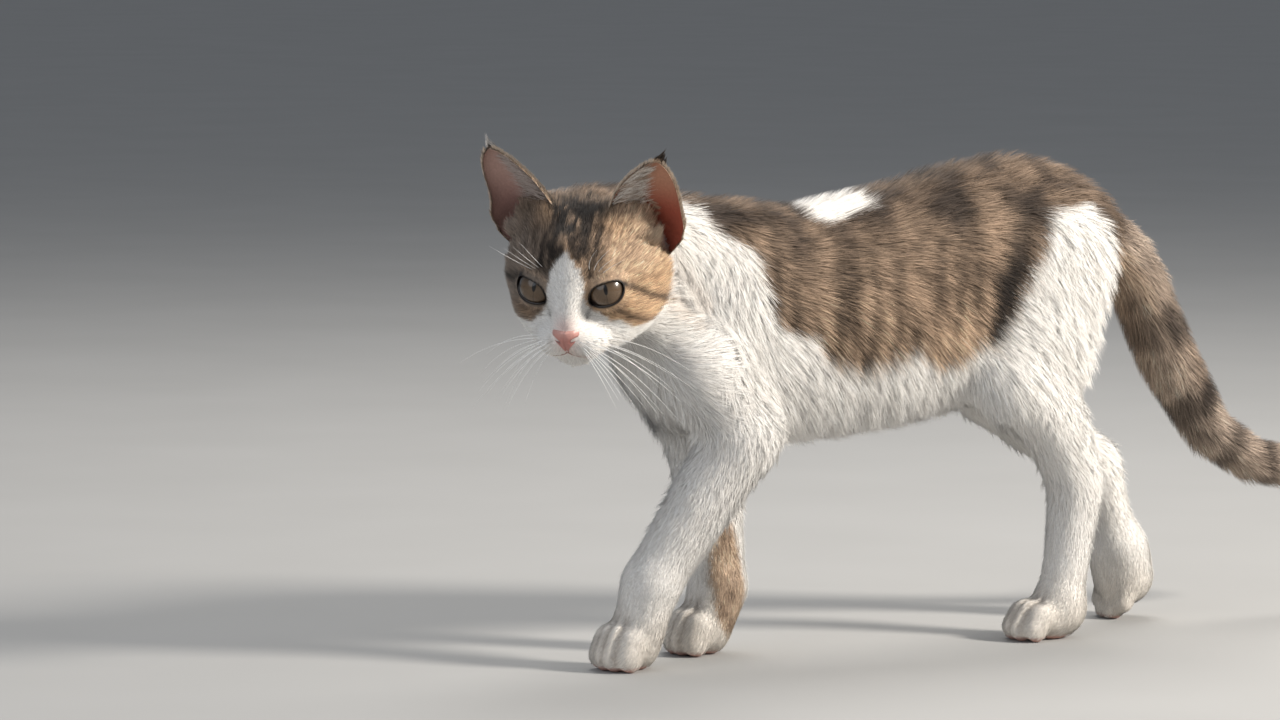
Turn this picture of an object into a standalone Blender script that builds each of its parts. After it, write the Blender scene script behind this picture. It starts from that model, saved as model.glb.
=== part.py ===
"""A young tabby-and-white cat in mid-walk, life size, as a still museum model.

Metres, +Z up. The cat walks towards -Y and its left side is +X. The floor is z = 0.
Sizes are written in millimetres and turned into metres by MM. The solids show the cat out to
the tips of its short coat.
"""

import math

import bmesh
import bpy
import numpy as np
from mathutils import Euler, Matrix, Vector

MM = 0.001
GAP = 0.3  # left between neighbours

# The trunk, from the breastbone to the root of the tail: place along the back, height of the
# back and of the belly there, and half the width.
TRUNK = (
    (-130, 176, 152, 9),
    (-122, 198, 131, 25),
    (-104, 216, 115, 34),
    (-74, 225, 108.5, 38),
    (-40, 228, 109, 40),
    (0, 234, 112, 41.5),
    (30, 241, 116, 41),
    (60, 247, 122, 39),
    (88, 249, 131, 37),
    (112, 244, 149, 33),
    (128, 237, 168, 26),
    (139, 229, 186, 17.5),
    (146, 220, 200, 8),
)

# Joints of the limbs.
LEFT_SHOULDER = (27, -114, 150)
LEFT_ELBOW = (31, -92, 114)
LEFT_WRIST = (23, -140, 42)
LEFT_FOREPAW = (20, -149, 0)
RIGHT_SHOULDER = (-27, -108, 150)
RIGHT_ELBOW = (-29, -80, 112)
RIGHT_WRIST = (-14, -79, 33)
RIGHT_FOREPAW = (-12, -89, 0)
LEFT_HIP = (20, 104, 194)
LEFT_KNEE = (30, 72, 135)
LEFT_HOCK = (27, 112, 80)
LEFT_HINDPAW = (28, 90, 0)
RIGHT_HIP = (-20, 104, 194)
RIGHT_KNEE = (-30, 94, 128)
RIGHT_HOCK = (-26, 160, 83)
RIGHT_BALL = (-24, 177, 22)

# The head is modelled about a point between and behind the eyes, looking along -Y. It is then
# tilted, nodded down and turned to the cat's left.
HEAD_CENTRE = (20.1, -176, 203.3)
HEAD_TURN, HEAD_NOD, HEAD_TILT = 42.6, 27, 1.8
EYE_PLACE = (16.8, -21.6, -0.5)
EYE_RADIUS = 10.4
EYE_OUTWARD, EYE_UPWARD = 26, 9  # degrees that each eye looks away from straight ahead
LID = 1.4  # how far the lids stand out over the eyeball
EYE_OPENING = ((-9.4, -3.8), (-8.6, 2.0), (-5.6, 5.6), (-0.4, 7.0), (4.8, 6.7), (8.0, 4.1),
               (7.8, -0.3), (4.5, -4.3), (-0.9, -6.1), (-6.1, -6.3))

# Ears, in the head's own frame: middle of the root, tip, half the width of the root, and how much
# the outer edge is drawn in. The right ear is turned further out.
LEFT_EAR = ((30, 7, 15), (42, 5, 56.5), 18.2, 0.04)
RIGHT_EAR = ((-28.5, 7, 16), (-44, 5, 60), 17.4, 0.24)
EAR_DEPTH, EAR_WALL = 13, 2.0

TAIL = (
    (0, 118, 214, 18),
    (0, 137, 209, 17),
    (0, 153, 198, 16),
    (0, 166.5, 182, 15.3),
    (0, 186.5, 142, 15),
    (0, 212.5, 102, 12.2),
    (0, 238, 85, 11),
    (0, 258, 79, 10),
    (0, 281, 77, 9.2),
    (0, 303, 81, 8.4),
    (0, 320, 89, 6.2),
)


def soft_min(a, b, blend):
    """The nearer of two fields, run into each other over the distance blend."""
    share = np.clip(0.5 + 0.5 * (b - a) / blend, 0, 1)
    return b * (1 - share) + a * share - blend * share * (1 - share)


def ball_points(centre, radius, wide=1.0):
    """Points of a small sphere, widened across the body."""
    made = bmesh.new()
    bmesh.ops.create_icosphere(made, subdivisions=2, radius=radius)
    points = [Vector((v.co.x * wide, v.co.y, v.co.z)) + Vector(centre) for v in made.verts]
    made.free()
    return points


def add_hull(mesh, points, place):
    """Adds the tight skin round the points to the mesh."""
    verts = [mesh.verts.new(place @ p) for p in points]
    made = bmesh.ops.convex_hull(mesh, input=verts)
    inner = [v for v in made["geom_interior"] if isinstance(v, bmesh.types.BMVert)]
    bmesh.ops.delete(mesh, geom=inner, context="VERTS")


class Mass:
    """One muscle, bone end or pad: a field that is 0 on its surface, and a rough mesh of it."""

    def __init__(self, field, seed, blend, place=None):
        self.field_here = field
        self.seed_here = seed
        self.blend = blend * MM
        self.place = place or Matrix.Identity(4)
        self.back = np.array(self.place.inverted())

    def field(self, points):
        return self.field_here(points @ self.back[:3, :3].T + self.back[:3, 3])

    def seed(self, mesh):
        self.seed_here(mesh, self.place)


def chain(stops, blend=8, wide=1.0, place=None):
    """Tapered lengths from stop to stop, each (x, y, z, radius); wide is width over depth."""
    stops = np.array(stops, float) * MM

    def field(p):
        best = np.full(len(p), np.inf)
        for a, b in zip(stops[:-1], stops[1:]):
            along = b[:3] - a[:3]
            t = np.clip((p - a[:3]) @ along / (along @ along), 0, 1)[:, None]
            off = p - a[:3] - t * along
            off[:, 0] /= wide
            reach = a[3] + t[:, 0] * (b[3] - a[3])
            best = np.minimum(best, np.linalg.norm(off, axis=1) - reach)
        return best

    def seed(mesh, where):
        for a, b in zip(stops[:-1], stops[1:]):
            add_hull(mesh, ball_points(a[:3], a[3], wide) + ball_points(b[:3], b[3], wide), where)

    return Mass(field, seed, blend, place)


def egg(centre, radii, blend=8, turn=(0, 0, 0), place=None):
    """An egg with three half sizes, turned by degrees about x, y and z."""
    size = np.array(radii, float) * MM
    turned = Euler([math.radians(a) for a in turn]).to_matrix().to_4x4()
    own = Matrix.Translation(Vector(centre) * MM) @ turned

    def field(p):
        outer = np.linalg.norm(p / size, axis=1)
        inner = np.linalg.norm(p / size**2, axis=1)
        return outer * (outer - 1) / np.maximum(inner, 1e-9)

    def seed(mesh, where):
        points = [Vector(np.array(p) * size) for p in ball_points((0, 0, 0), 1.0)]
        add_hull(mesh, points, where)

    return Mass(field, seed, blend, (place or Matrix.Identity(4)) @ own)


def trunk(stations, blend=8):
    """The rib cage, loin and hips as one form with an egg-shaped section at each station."""
    rows = np.array(stations, float) * MM
    fine = np.linspace(0, len(rows) - 1, 8 * len(rows))
    i = np.clip(fine.astype(int), 0, len(rows) - 2)
    t = (fine - i)[:, None]
    padded = np.vstack([2 * rows[0] - rows[1], rows, 2 * rows[-1] - rows[-2]])
    p0, p1, p2, p3 = (padded[i + k] for k in range(4))
    curve = 0.5 * (2 * p1 + (p2 - p0) * t + (2 * p0 - 5 * p1 + 4 * p2 - p3) * t**2
                   + (3 * p1 - p0 - 3 * p2 + p3) * t**3)
    along, top, bottom, half = curve.T

    def field(p):
        y = p[:, 1]
        middle = np.interp(y, along, (top + bottom) / 2)
        tall = np.maximum(np.interp(y, along, (top - bottom) / 2), 0.004)
        wide = np.maximum(np.interp(y, along, half), 0.004)
        height = p[:, 2] - middle
        ratio = np.sqrt((p[:, 0] / wide) ** 2 + (height / tall) ** 2)
        ends = np.maximum(along[0] - y, y - along[-1])
        return np.maximum((ratio - 1) * np.minimum(wide, tall), ends)

    def seed(mesh, where):
        for a, b in zip(rows[:-1], rows[1:]):
            points = [
                Vector((row[3] * math.cos(s), row[0],
                        (row[1] + row[2]) / 2 + (row[1] - row[2]) / 2 * math.sin(s)))
                for row in (a, b)
                for s in np.linspace(0, 2 * math.pi, 24, endpoint=False)
            ]
            add_hull(mesh, points, where)

    return Mass(field, seed, blend)


def along_limb(a, b, share, **change):
    """A point between two joints."""
    return tuple(a[k] + share * (b[k] - a[k]) for k in range(3))


HEAD_PLACE = (
    Matrix.Translation(Vector(HEAD_CENTRE) * MM)
    @ Matrix.Rotation(math.radians(HEAD_TURN), 4, "Z")
    @ Matrix.Rotation(math.radians(HEAD_NOD), 4, "X")
    @ Matrix.Rotation(math.radians(HEAD_TILT), 4, "Y")
)


def head_masses():
    """Skull, brows, lids, cheeks, muzzle and chin, in the head's own frame."""
    here = {"place": HEAD_PLACE}
    masses = [
        egg((0, 6, 7), (34, 34, 25.5), 8, **here),
        egg((0, -8, -10), (28, 24, 22), 8, **here),
        chain(((0, -19, 15, 13), (0, -29, 0, 9), (0, -38, -14, 6)), 7, **here),
        egg((0, -28, -22), (14, 15, 11), 7, **here),
        chain(((0, -12, -28, 12), (0, -30, -33.2, 7.2)), 4, 1.35, **here),
        egg((0, -40, -17.5), (6.2, 4, 4.4), 2.5, **here),
    ]
    for side in (1, -1):
        x, y, z = EYE_PLACE
        masses += [
            egg((side * 20, 5, -4), (21.5, 24, 20), 8, **here),
            egg((side * 18, -4, -20), (17, 20, 14), 8, **here),
            egg((side * 19, -17, -12.5), (12, 10, 9), 6, **here),
            egg((side * 13, -17, -26), (12, 14, 8.5), 7, **here),
            egg((side * 13.5, -16, 13), (12, 11, 8), 6, **here),
            egg((side * x, y, z), [EYE_RADIUS + LID] * 3, 2.5, **here),
            egg((side * 8, -33.5, -24), (9.5, 9.5, 8.5), 3, **here),
            egg((side * 24, 8, 19), (13, 12, 13.5), 7, **here),
        ]
    return masses


def paw_masses(heel, ball, tips, spread=8.0, toe=6.6, high=12.5, arch=None):
    """Four toes in front of the ball of the foot. heel is the joint above it, arch the knuckles' height."""
    forward = Vector(tips) - Vector(ball)
    across = Vector((1, 0, 0)) if arch is None else forward.cross(Vector((0, 0, 1))).normalized()
    masses = [chain(((*heel, high + 1), (*ball, high)), 7, 1.1)]
    for k, reach, lower in ((-1.5, 0.76, 1.5), (-0.5, 1.0, 0), (0.5, 1.0, 0), (1.5, 0.76, 1.5)):
        root = Vector(ball) + across * k * spread * 0.62
        tip = Vector(ball) + across * k * spread * 0.92 + forward * reach
        if arch is None:
            middle = root.lerp(tip, 0.55)
            middle.z += 1.5
            masses.append(chain(((*root, toe), (*middle, toe), (*tip, toe - 0.9)), 1.6))
            continue
        middle = root.lerp(tip, 0.68)
        top = arch - lower
        tip.z = toe - 0.4
        masses.append(chain(((root.x, root.y, top - toe * 1.1, toe * 1.1),
                             (middle.x, middle.y, top - toe * 1.12, toe * 1.12), (*tip, toe)), 1.2, 0.72))
    return masses


def limb_masses():
    """The four legs, each as a list: shoulder or thigh, then down to the toes."""
    masses = {}
    for name, side, shoulder, elbow, wrist, paw, outward in (
        ("foreleg_left", 1, LEFT_SHOULDER, LEFT_ELBOW, LEFT_WRIST, LEFT_FOREPAW, 3),
        ("foreleg_right", -1, RIGHT_SHOULDER, RIGHT_ELBOW, RIGHT_WRIST, RIGHT_FOREPAW, 0),
    ):
        blade = (side * 17, -80, 211)
        mid = along_limb(elbow, wrist, 0.45)
        masses[name] = [
            chain(((*blade, 14), (*shoulder, 20)), 16, 0.8),
            chain(((*shoulder, 21), (*elbow, 20)), 12, 0.85),
            chain(((*elbow, 20), (*mid, 18.2), (*wrist, 15.4)), 8, 0.86),
            *paw_masses(wrist, (paw[0], paw[1] + 1, 12.3), (paw[0] + outward, paw[1] - 14.5, 7.0), toe=7.4,
                        high=13.3, arch=24.5),
        ]
    paw = LEFT_HINDPAW
    left_low = (paw[0], paw[1] + 11, 15)
    masses["hindleg_left"] = [
        chain(((*LEFT_HIP, 32), (26, 88, 160, 29), (*LEFT_KNEE, 21)), 16, 0.62),
        chain(((22, 113, 196, 20), (27, 104, 144, 17)), 14, 0.75),
        chain(((*LEFT_KNEE, 20), (28.5, 97, 112, 20), (*LEFT_HOCK, 15.5)), 9, 0.8),
        chain(((*LEFT_HOCK, 15.5), (28, 106, 42, 13.6), (*left_low, 13)), 6, 0.92),
        *paw_masses(left_low, (paw[0], paw[1] + 4, 11), (paw[0], paw[1] - 14.5, 6.4), toe=6.8,
                    high=12, arch=21.5),
    ]
    masses["hindleg_right"] = [
        chain(((*RIGHT_HIP, 32), (-26, 100, 160, 29), (*RIGHT_KNEE, 21)), 16, 0.62),
        chain(((-22, 114, 196, 20), (-27, 116, 150, 17)), 14, 0.75),
        chain(((*RIGHT_KNEE, 19.5), (-29, 122, 106, 18), (*RIGHT_HOCK, 14)), 9, 0.8),
        chain(((*RIGHT_HOCK, 14), (-25, 169, 52, 13), (*RIGHT_BALL, 14.5)), 6, 0.95),
        *paw_masses((-24, 174, 38), RIGHT_BALL, (-24, 168, 4.4), spread=7.6, toe=6.6, high=14.5),
    ]
    return masses


LIMBS = limb_masses()
HEAD = head_masses()
BEHIND_HEAD = HEAD_PLACE @ Vector((0, 20 * MM, -4 * MM)) / MM
NECK = [
    chain(((0, -84, 189, 36), (4, -114, 199, 36), (*BEHIND_HEAD, 32)), 18, 0.9),
    chain(((0, -113, 157, 31), (10, -134, 176, 26)), 16, 0.95),
]
TAIL_MASSES = [chain(TAIL, 10)]
TORSO = [trunk(TRUNK)]
WHOLE = [*TORSO, *NECK, *[m for limb in LIMBS.values() for m in limb], *TAIL_MASSES, *HEAD]


def field(points):
    """How far each point is outside the cat's surface, roughly; below 0 is inside."""
    total = WHOLE[0].field(points)
    for mass in WHOLE[1:]:
        total = soft_min(total, mass.field(points), mass.blend)
    return total


def slope(points, step=0.0004):
    """Which way the field grows, by central differences."""
    return np.stack([(field(points + e) - field(points - e)) / (2 * step) for e in np.eye(3) * step], axis=1)


def settle(points, level=0.0, rounds=4):
    """Moves points onto the cat's surface, or onto one level metres outside it."""
    points = np.array(points, float)
    for _ in range(rounds):
        grow = slope(points)
        steep = np.maximum((grow**2).sum(1), 0.05)
        points -= ((field(points) - level) / steep)[:, None] * grow
    return points


def object_of(name, mesh):
    """A new object in the scene, from a bmesh that is then freed, or from a mesh."""
    if isinstance(mesh, bmesh.types.BMesh):
        data = bpy.data.meshes.new(name)
        mesh.to_mesh(data)
        mesh.free()
        mesh = data
    made = bpy.data.objects.new(name, mesh)
    bpy.context.scene.collection.objects.link(made)
    return made


def evaluated_mesh(made):
    """The object's mesh with its modifiers applied."""
    graph = bpy.context.evaluated_depsgraph_get()
    return bpy.data.meshes.new_from_object(made.evaluated_get(graph), depsgraph=graph)


def apply_modifiers(made):
    old = made.data
    made.data = evaluated_mesh(made)
    made.modifiers.clear()
    bpy.data.meshes.remove(old)


def fused(name, masses, voxel, triangles, level=0.0):
    """One closed skin over the masses, lying on the cat's surface, with about so many triangles."""
    mesh = bmesh.new()
    for mass in masses:
        mass.seed(mesh)
    made = object_of(name, mesh)
    remesh = made.modifiers.new("remesh", "REMESH")
    remesh.mode = "VOXEL"
    remesh.voxel_size = voxel * MM
    apply_modifiers(made)
    verts = made.data.vertices
    points = np.empty(len(verts) * 3)
    verts.foreach_get("co", points)
    verts.foreach_set("co", settle(points.reshape(-1, 3), level).ravel())
    thin = made.modifiers.new("thin", "DECIMATE")
    thin.ratio = min(1.0, triangles / (2 * len(made.data.polygons)))
    apply_modifiers(made)
    return made


def cell(point, toward, size, along=None, grow=0.0):
    """A box in front of a parting plane. It starts on the plane and reaches along the part."""
    toward = Vector(toward).normalized()
    along = Vector(along or toward).normalized()
    turn = along.to_track_quat("Z", "Y").to_matrix()
    point = Vector(point) - toward * grow
    wide, deep, long = size
    mesh = bmesh.new()
    bmesh.ops.create_cube(mesh, size=2.0)
    for v in mesh.verts:
        corner = point + turn @ Vector((v.co.x * (wide / 2 + grow), v.co.y * (deep / 2 + grow), 0))
        if v.co.z < 0:
            corner -= along * ((corner - point).dot(toward) / along.dot(toward))
        else:
            corner += along * (long + grow)
        v.co = corner * MM
    return object_of("cell", mesh)


def cut(made, cutter, operation="DIFFERENCE", solver="MANIFOLD"):
    """Cuts the object with the cutter, which is used up. The largest closed piece is kept."""
    step = made.modifiers.new("cut", "BOOLEAN")
    step.operation = operation
    step.solver = solver
    step.object = cutter
    apply_modifiers(made)
    bpy.data.objects.remove(cutter)
    keep_largest(made)


def keep_largest(made):
    """Drops crumbs that a cut has left, and makes all faces triangles."""
    mesh = bmesh.new()
    mesh.from_mesh(made.data)
    left, islands = set(mesh.verts), []
    while left:
        island, edge = set(), [next(iter(left))]
        while edge:
            v = edge.pop()
            if v in island:
                continue
            island.add(v)
            edge += [e.other_vert(v) for e in v.link_edges]
        islands.append(island)
        left -= island
    islands.sort(key=len)
    for island in islands[:-1]:
        bmesh.ops.delete(mesh, geom=list(island), context="VERTS")
    bmesh.ops.triangulate(mesh, faces=mesh.faces[:])
    cleaned = mesh.copy()
    bmesh.ops.remove_doubles(cleaned, verts=cleaned.verts[:], dist=2e-6)
    bmesh.ops.dissolve_degenerate(cleaned, edges=cleaned.edges[:], dist=2e-6)
    bmesh.ops.triangulate(cleaned, faces=cleaned.faces[:])
    whole = all(len(e.link_faces) == 2 for e in cleaned.edges)
    (cleaned if whole else mesh).to_mesh(made.data)
    cleaned.free()
    mesh.free()


# Parting planes: a point on the plane, the way to the part, and the size of the box in front
# of the plane that holds the part.
DOWN = (0, 0, -1)
CELLS = {
    "neck": ((2, -106, 196), (0.12, -1, 0.08), (150, 200, 200), (0, -1, 0)),
    "head": (HEAD_PLACE @ Vector((0, 10 * MM, -4 * MM)) / MM, HEAD_PLACE.to_3x3() @ Vector((0, -0.9, 0.437)),
             (112, 150, 150)),
    "foreleg_left": ((46, -110, 122), (0.42, 0, -1), (81, 120, 200), DOWN),
    "foreleg_right": ((-46, -88, 122), (-0.42, 0, -1), (101, 90, 200), DOWN),
    "forepaw_left": ((22, -144, 27), (0, -0.35, -1), (52, 74, 60), DOWN),
    "forepaw_right": ((-13, -84, 24), (0, -0.35, -1), (52, 76, 60), DOWN),
    "hindleg_left": ((44, 84, 131), (0.3, 0.35, -1), (82, 110, 200), DOWN),
    "hindleg_right": ((-44, 130, 147), (-0.3, 0.35, -1), (82, 150, 200), DOWN),
    "hindpaw_left": ((28, 101, 27), (0, -0.3, -1), (52, 72, 60), DOWN),
    "hindpaw_right": ((-24, 174, 42), (0, 0, -1), (52, 70, 70)),
    "tail_root": ((0, 147, 212), (0, 0.85, -0.5), (42, 58, 90), (0, 0.42, -0.91)),
    "tail_middle": ((0, 189, 138), (0, 0.5, -1), (60, 120, 100), (0, 0.5, -1)),
    "tail_tip": ((0, 249, 81), (0, 1, 0), (60, 60, 200), (0, 1, 0)),
}


def part_of(name, skin, beyond=()):
    """One node: the skin inside the node's box, less the boxes of the nodes beyond it."""
    made = object_of(name, skin.data.copy())
    if name in CELLS:
        cut(made, cell(*CELLS[name]), "INTERSECT")
    for other in beyond:
        cut(made, cell(*CELLS[other], grow=GAP))
    if "paw" in name:
        cut(made, cell((0, 0, 0), (0, 0, -1), (900, 900, 60)))
    return made


def eye_axis(side):
    """The eye's middle and the turn that puts local +Z along its line of sight."""
    x, y, z = EYE_PLACE
    out, up = math.radians(EYE_OUTWARD), math.radians(EYE_UPWARD)
    look = Vector((side * math.sin(out), -math.cos(out), math.tan(up)))
    turn = look.to_track_quat("Z", "Y").to_matrix().to_4x4()
    return HEAD_PLACE @ Matrix.Translation(Vector((side * x, y, z)) * MM) @ turn


def eyeball(name, side, grow=0.0):
    mesh = bmesh.new()
    bmesh.ops.create_uvsphere(mesh, u_segments=20, v_segments=12, radius=(EYE_RADIUS + grow) * MM)
    mesh.transform(eye_axis(side))
    return object_of(name, mesh)


def lid_opening(side):
    """The almond between the lids, as a long prism along the line of sight."""
    mesh = bmesh.new()
    count = 36
    loop = np.array(EYE_OPENING + EYE_OPENING[:1], float)
    place = np.linspace(0, len(EYE_OPENING), count, endpoint=False)
    i = place.astype(int)
    t = (place - i)[:, None]
    ring = np.array([loop[(i + k) % len(EYE_OPENING)] for k in (-1, 0, 1, 2)])
    p0, p1, p2, p3 = ring
    curve = 0.5 * (2 * p1 + (p2 - p0) * t + (2 * p0 - 5 * p1 + 4 * p2 - p3) * t**2
                   + (3 * p1 - p0 - 3 * p2 + p3) * t**3)
    rows = []
    for z, spread in ((3.0, 0.94), (EYE_RADIUS + 8, 1.08)):
        rows.append([mesh.verts.new(Vector((side * x * spread, y * spread, z)) * MM) for x, y in curve])
    mesh.faces.new(rows[0])
    mesh.faces.new(reversed(rows[1]))
    for k in range(count):
        n = (k + 1) % count
        mesh.faces.new((rows[0][k], rows[1][k], rows[1][n], rows[0][n]))
    bmesh.ops.recalc_face_normals(mesh, faces=mesh.faces[:])
    mesh.transform(eye_axis(side))
    return object_of("opening", mesh)


def groove(points, radius):
    """A thin rod laid along the skin, for a fold to be cut with. Points are in the head's frame."""
    on_skin = settle([HEAD_PLACE @ (Vector(p) * MM) for p in points])
    line = bpy.data.curves.new("groove", "CURVE")
    line.dimensions = "3D"
    line.bevel_depth = radius * MM
    line.bevel_resolution = 1
    line.use_fill_caps = True
    spline = line.splines.new("POLY")
    spline.points.add(len(points) - 1)
    for p, q in zip(spline.points, on_skin):
        p.co = (*q, 1)
    rod = object_of("rod", line)
    mesh = bmesh.new()
    mesh.from_mesh(evaluated_mesh(rod))
    bmesh.ops.remove_doubles(mesh, verts=mesh.verts[:], dist=1e-6)
    bmesh.ops.recalc_face_normals(mesh, faces=mesh.faces[:])
    bpy.data.objects.remove(rod)
    return object_of("groove", mesh)


def cut_face(head):
    """Sockets and lids, nostrils, and the line of the mouth."""
    for side in (1, -1):
        cut(head, lid_opening(side))
        cut(head, eyeball("socket", side, GAP))
    for side in (1, -1):
        nostril = bmesh.new()
        bmesh.ops.create_icosphere(nostril, subdivisions=2, radius=1.0)
        nostril.transform(
            HEAD_PLACE
            @ Matrix.Translation(Vector((side * 3.1, -43.6, -18.4)) * MM)
            @ Matrix.Rotation(side * math.radians(28), 4, "Y")
            @ Matrix.Diagonal((1.7 * MM, 2.6 * MM, 1.1 * MM, 1))
        )
        cut(head, object_of("nostril", nostril))
    cut(head, groove([(0, -46, -21), (0, -45, -23.5), (0, -43, -26.5)], 0.55))
    for side in (1, -1):
        lip = [(side * x, y, z) for x, y, z in (
            (0.2, -43, -26.6), (3, -43, -28.2), (7, -41, -29.2), (11, -36, -28.6), (14.5, -29, -27.2),
            (17, -22, -26.0))]
        cut(head, groove(lip, 0.6))


def ear(name, root, tip, root_half, slim, side, head_skin):
    """A thin cup from its root inside the head to its tip, open forwards and outwards."""
    root, tip = Vector(root), Vector(tip)
    up = (tip - root).normalized()
    along_root = Vector((side * 0.72, 0.12, -0.68))
    across = (along_root - up * along_root.dot(up)).normalized()
    face = across.cross(up) * side
    if face.y > 0:
        face = -face
    tall = (tip - root).length
    rows, columns = 12, 12
    mesh = bmesh.new()
    grids = []
    for layer in (0, 1):
        grid = []
        for r in range(rows + 1):
            s = -0.42 + 1.42 * r / rows
            high = max(s, 0.0)
            half = root_half * max(1 - high**2.1, 0.0) ** 0.72 * (1 + 1.1 * min(s, 0)) + 0.9
            depth = EAR_DEPTH * (1 - 0.72 * high)
            row = []
            for c in range(columns + 1):
                t = -1 + 2 * c / columns
                drawn = 1 - slim * math.sin(math.pi * high) * max(t, 0)
                lean = 5.5 * math.sin(math.pi * min(high, 1)) * (0.35 - t * 0.2)
                back = depth * math.sqrt(max(1 - t * t, 0)) - 3.0 * high * (1 - high)
                p = root + up * tall * s + across * (half * t * drawn - lean * 0.25) - face * back
                wall = EAR_WALL * (0.45 + 0.55 * math.sqrt(max(1 - t * t, 0))) * (1 - 0.45 * high)
                p += face * (wall * layer)
                row.append(mesh.verts.new(p * MM))
            grid.append(row)
        grids.append(grid)
    outer, inner = grids
    for r in range(rows):
        for c in range(columns):
            mesh.faces.new((outer[r][c], outer[r][c + 1], outer[r + 1][c + 1], outer[r + 1][c]))
            mesh.faces.new((inner[r][c + 1], inner[r][c], inner[r + 1][c], inner[r + 1][c + 1]))
        mesh.faces.new((outer[r][0], outer[r + 1][0], inner[r + 1][0], inner[r][0]))
        mesh.faces.new((outer[r + 1][columns], outer[r][columns], inner[r][columns], inner[r + 1][columns]))
    for c in range(columns):
        mesh.faces.new((outer[0][c + 1], outer[0][c], inner[0][c], inner[0][c + 1]))
        mesh.faces.new((outer[rows][c], outer[rows][c + 1], inner[rows][c + 1], inner[rows][c]))
    bmesh.ops.recalc_face_normals(mesh, faces=mesh.faces[:])
    mesh.transform(HEAD_PLACE)
    made = object_of(name, mesh)
    skin = object_of("skin", head_skin.data.copy())
    cut(made, skin)
    return made


COLOURS = {
    "white_coat": (0.80, 0.77, 0.73),
    "tabby_coat": (0.36, 0.27, 0.19),
    "eye": (0.20, 0.15, 0.06),
}


def coloured(made, slot, roughness=0.8):
    material = bpy.data.materials.get(slot) or bpy.data.materials.new(slot)
    material.use_nodes = True
    shader = material.node_tree.nodes["Principled BSDF"]
    shader.inputs["Base Color"].default_value = (*COLOURS[slot], 1)
    shader.inputs["Roughness"].default_value = roughness
    shader.inputs["Metallic"].default_value = 0
    made.data.materials.clear()
    made.data.materials.append(material)


def main():
    for old in list(bpy.data.objects):
        bpy.data.objects.remove(old)

    skin = fused("skin", WHOLE, 3.0, 7560)
    parts = {
        "torso": part_of("torso", skin, ("neck", "head", "foreleg_left", "foreleg_right", "hindleg_left",
                                         "hindleg_right", "tail_root", "tail_middle", "tail_tip")),
        "neck": part_of("neck", skin, ("head", "foreleg_left", "foreleg_right")),
        "tail_root": part_of("tail_root", skin, ("tail_middle",)),
        "tail_middle": part_of("tail_middle", skin, ("tail_tip",)),
        "tail_tip": part_of("tail_tip", skin),
    }
    for leg in LIMBS:
        parts[leg] = part_of(leg, skin, (leg.replace("leg", "paw"),))
    bpy.data.objects.remove(skin)
    for leg, masses in LIMBS.items():
        paw = leg.replace("leg", "paw")
        skin = fused("skin", masses[2:], 1.5, 2000)
        parts[paw] = part_of(paw, skin)
        bpy.data.objects.remove(skin)
    skin = fused("skin", [*NECK, *HEAD], 1.7, 5000)
    parts["head"] = part_of("head", skin)
    bpy.data.objects.remove(skin)

    head_skin = fused("head_skin", [*NECK, *HEAD], 2.6, 4000, GAP * MM)
    for side, name, shape in ((1, "ear_left", LEFT_EAR), (-1, "ear_right", RIGHT_EAR)):
        parts[name] = ear(name, *shape, side, head_skin)
    bpy.data.objects.remove(head_skin)
    cut_face(parts["head"])
    parts["eye_left"] = eyeball("eye_left", 1)
    parts["eye_right"] = eyeball("eye_right", -1)

    corners = [v.co for made in parts.values() for v in made.data.vertices]
    middle = [(min(c[k] for c in corners) + max(c[k] for c in corners)) / 2 for k in (0, 1)]
    shift = Matrix.Translation(Vector((-middle[0], -middle[1], 0)))
    for name, made in parts.items():
        made.data.transform(shift)
        if name.startswith("eye"):
            coloured(made, "eye", 0.08)
        elif name.startswith(("tail", "ear", "torso")):
            coloured(made, "tabby_coat")
        else:
            coloured(made, "white_coat")
    bpy.context.view_layer.update()


main()
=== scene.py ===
"""The looks of a young tabby-and-white cat in mid-walk: skin, coat, eyes, nose, ears and whiskers.

Sizes are in millimetres and turned into metres by MM. The cat walks towards -Y, its left is +X.
"""

import math
from itertools import product

import bmesh
import bpy
import numpy as np
from mathutils import Matrix, Vector
from mathutils.bvhtree import BVHTree
from mathutils.kdtree import KDTree


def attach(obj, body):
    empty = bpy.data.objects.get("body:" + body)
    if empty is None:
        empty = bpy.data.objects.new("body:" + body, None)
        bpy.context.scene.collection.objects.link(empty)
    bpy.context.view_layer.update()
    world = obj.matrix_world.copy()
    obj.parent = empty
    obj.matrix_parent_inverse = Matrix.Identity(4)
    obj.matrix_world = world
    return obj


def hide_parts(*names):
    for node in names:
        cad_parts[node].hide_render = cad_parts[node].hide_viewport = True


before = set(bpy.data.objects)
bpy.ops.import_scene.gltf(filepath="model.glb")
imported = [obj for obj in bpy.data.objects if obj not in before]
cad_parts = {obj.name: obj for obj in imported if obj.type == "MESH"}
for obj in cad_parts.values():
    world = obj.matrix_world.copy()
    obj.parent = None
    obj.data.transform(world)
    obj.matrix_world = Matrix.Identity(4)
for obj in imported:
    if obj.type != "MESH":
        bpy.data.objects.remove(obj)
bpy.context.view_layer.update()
bpy.ops.object.select_all(action="DESELECT")
MM = 0.001


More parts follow.
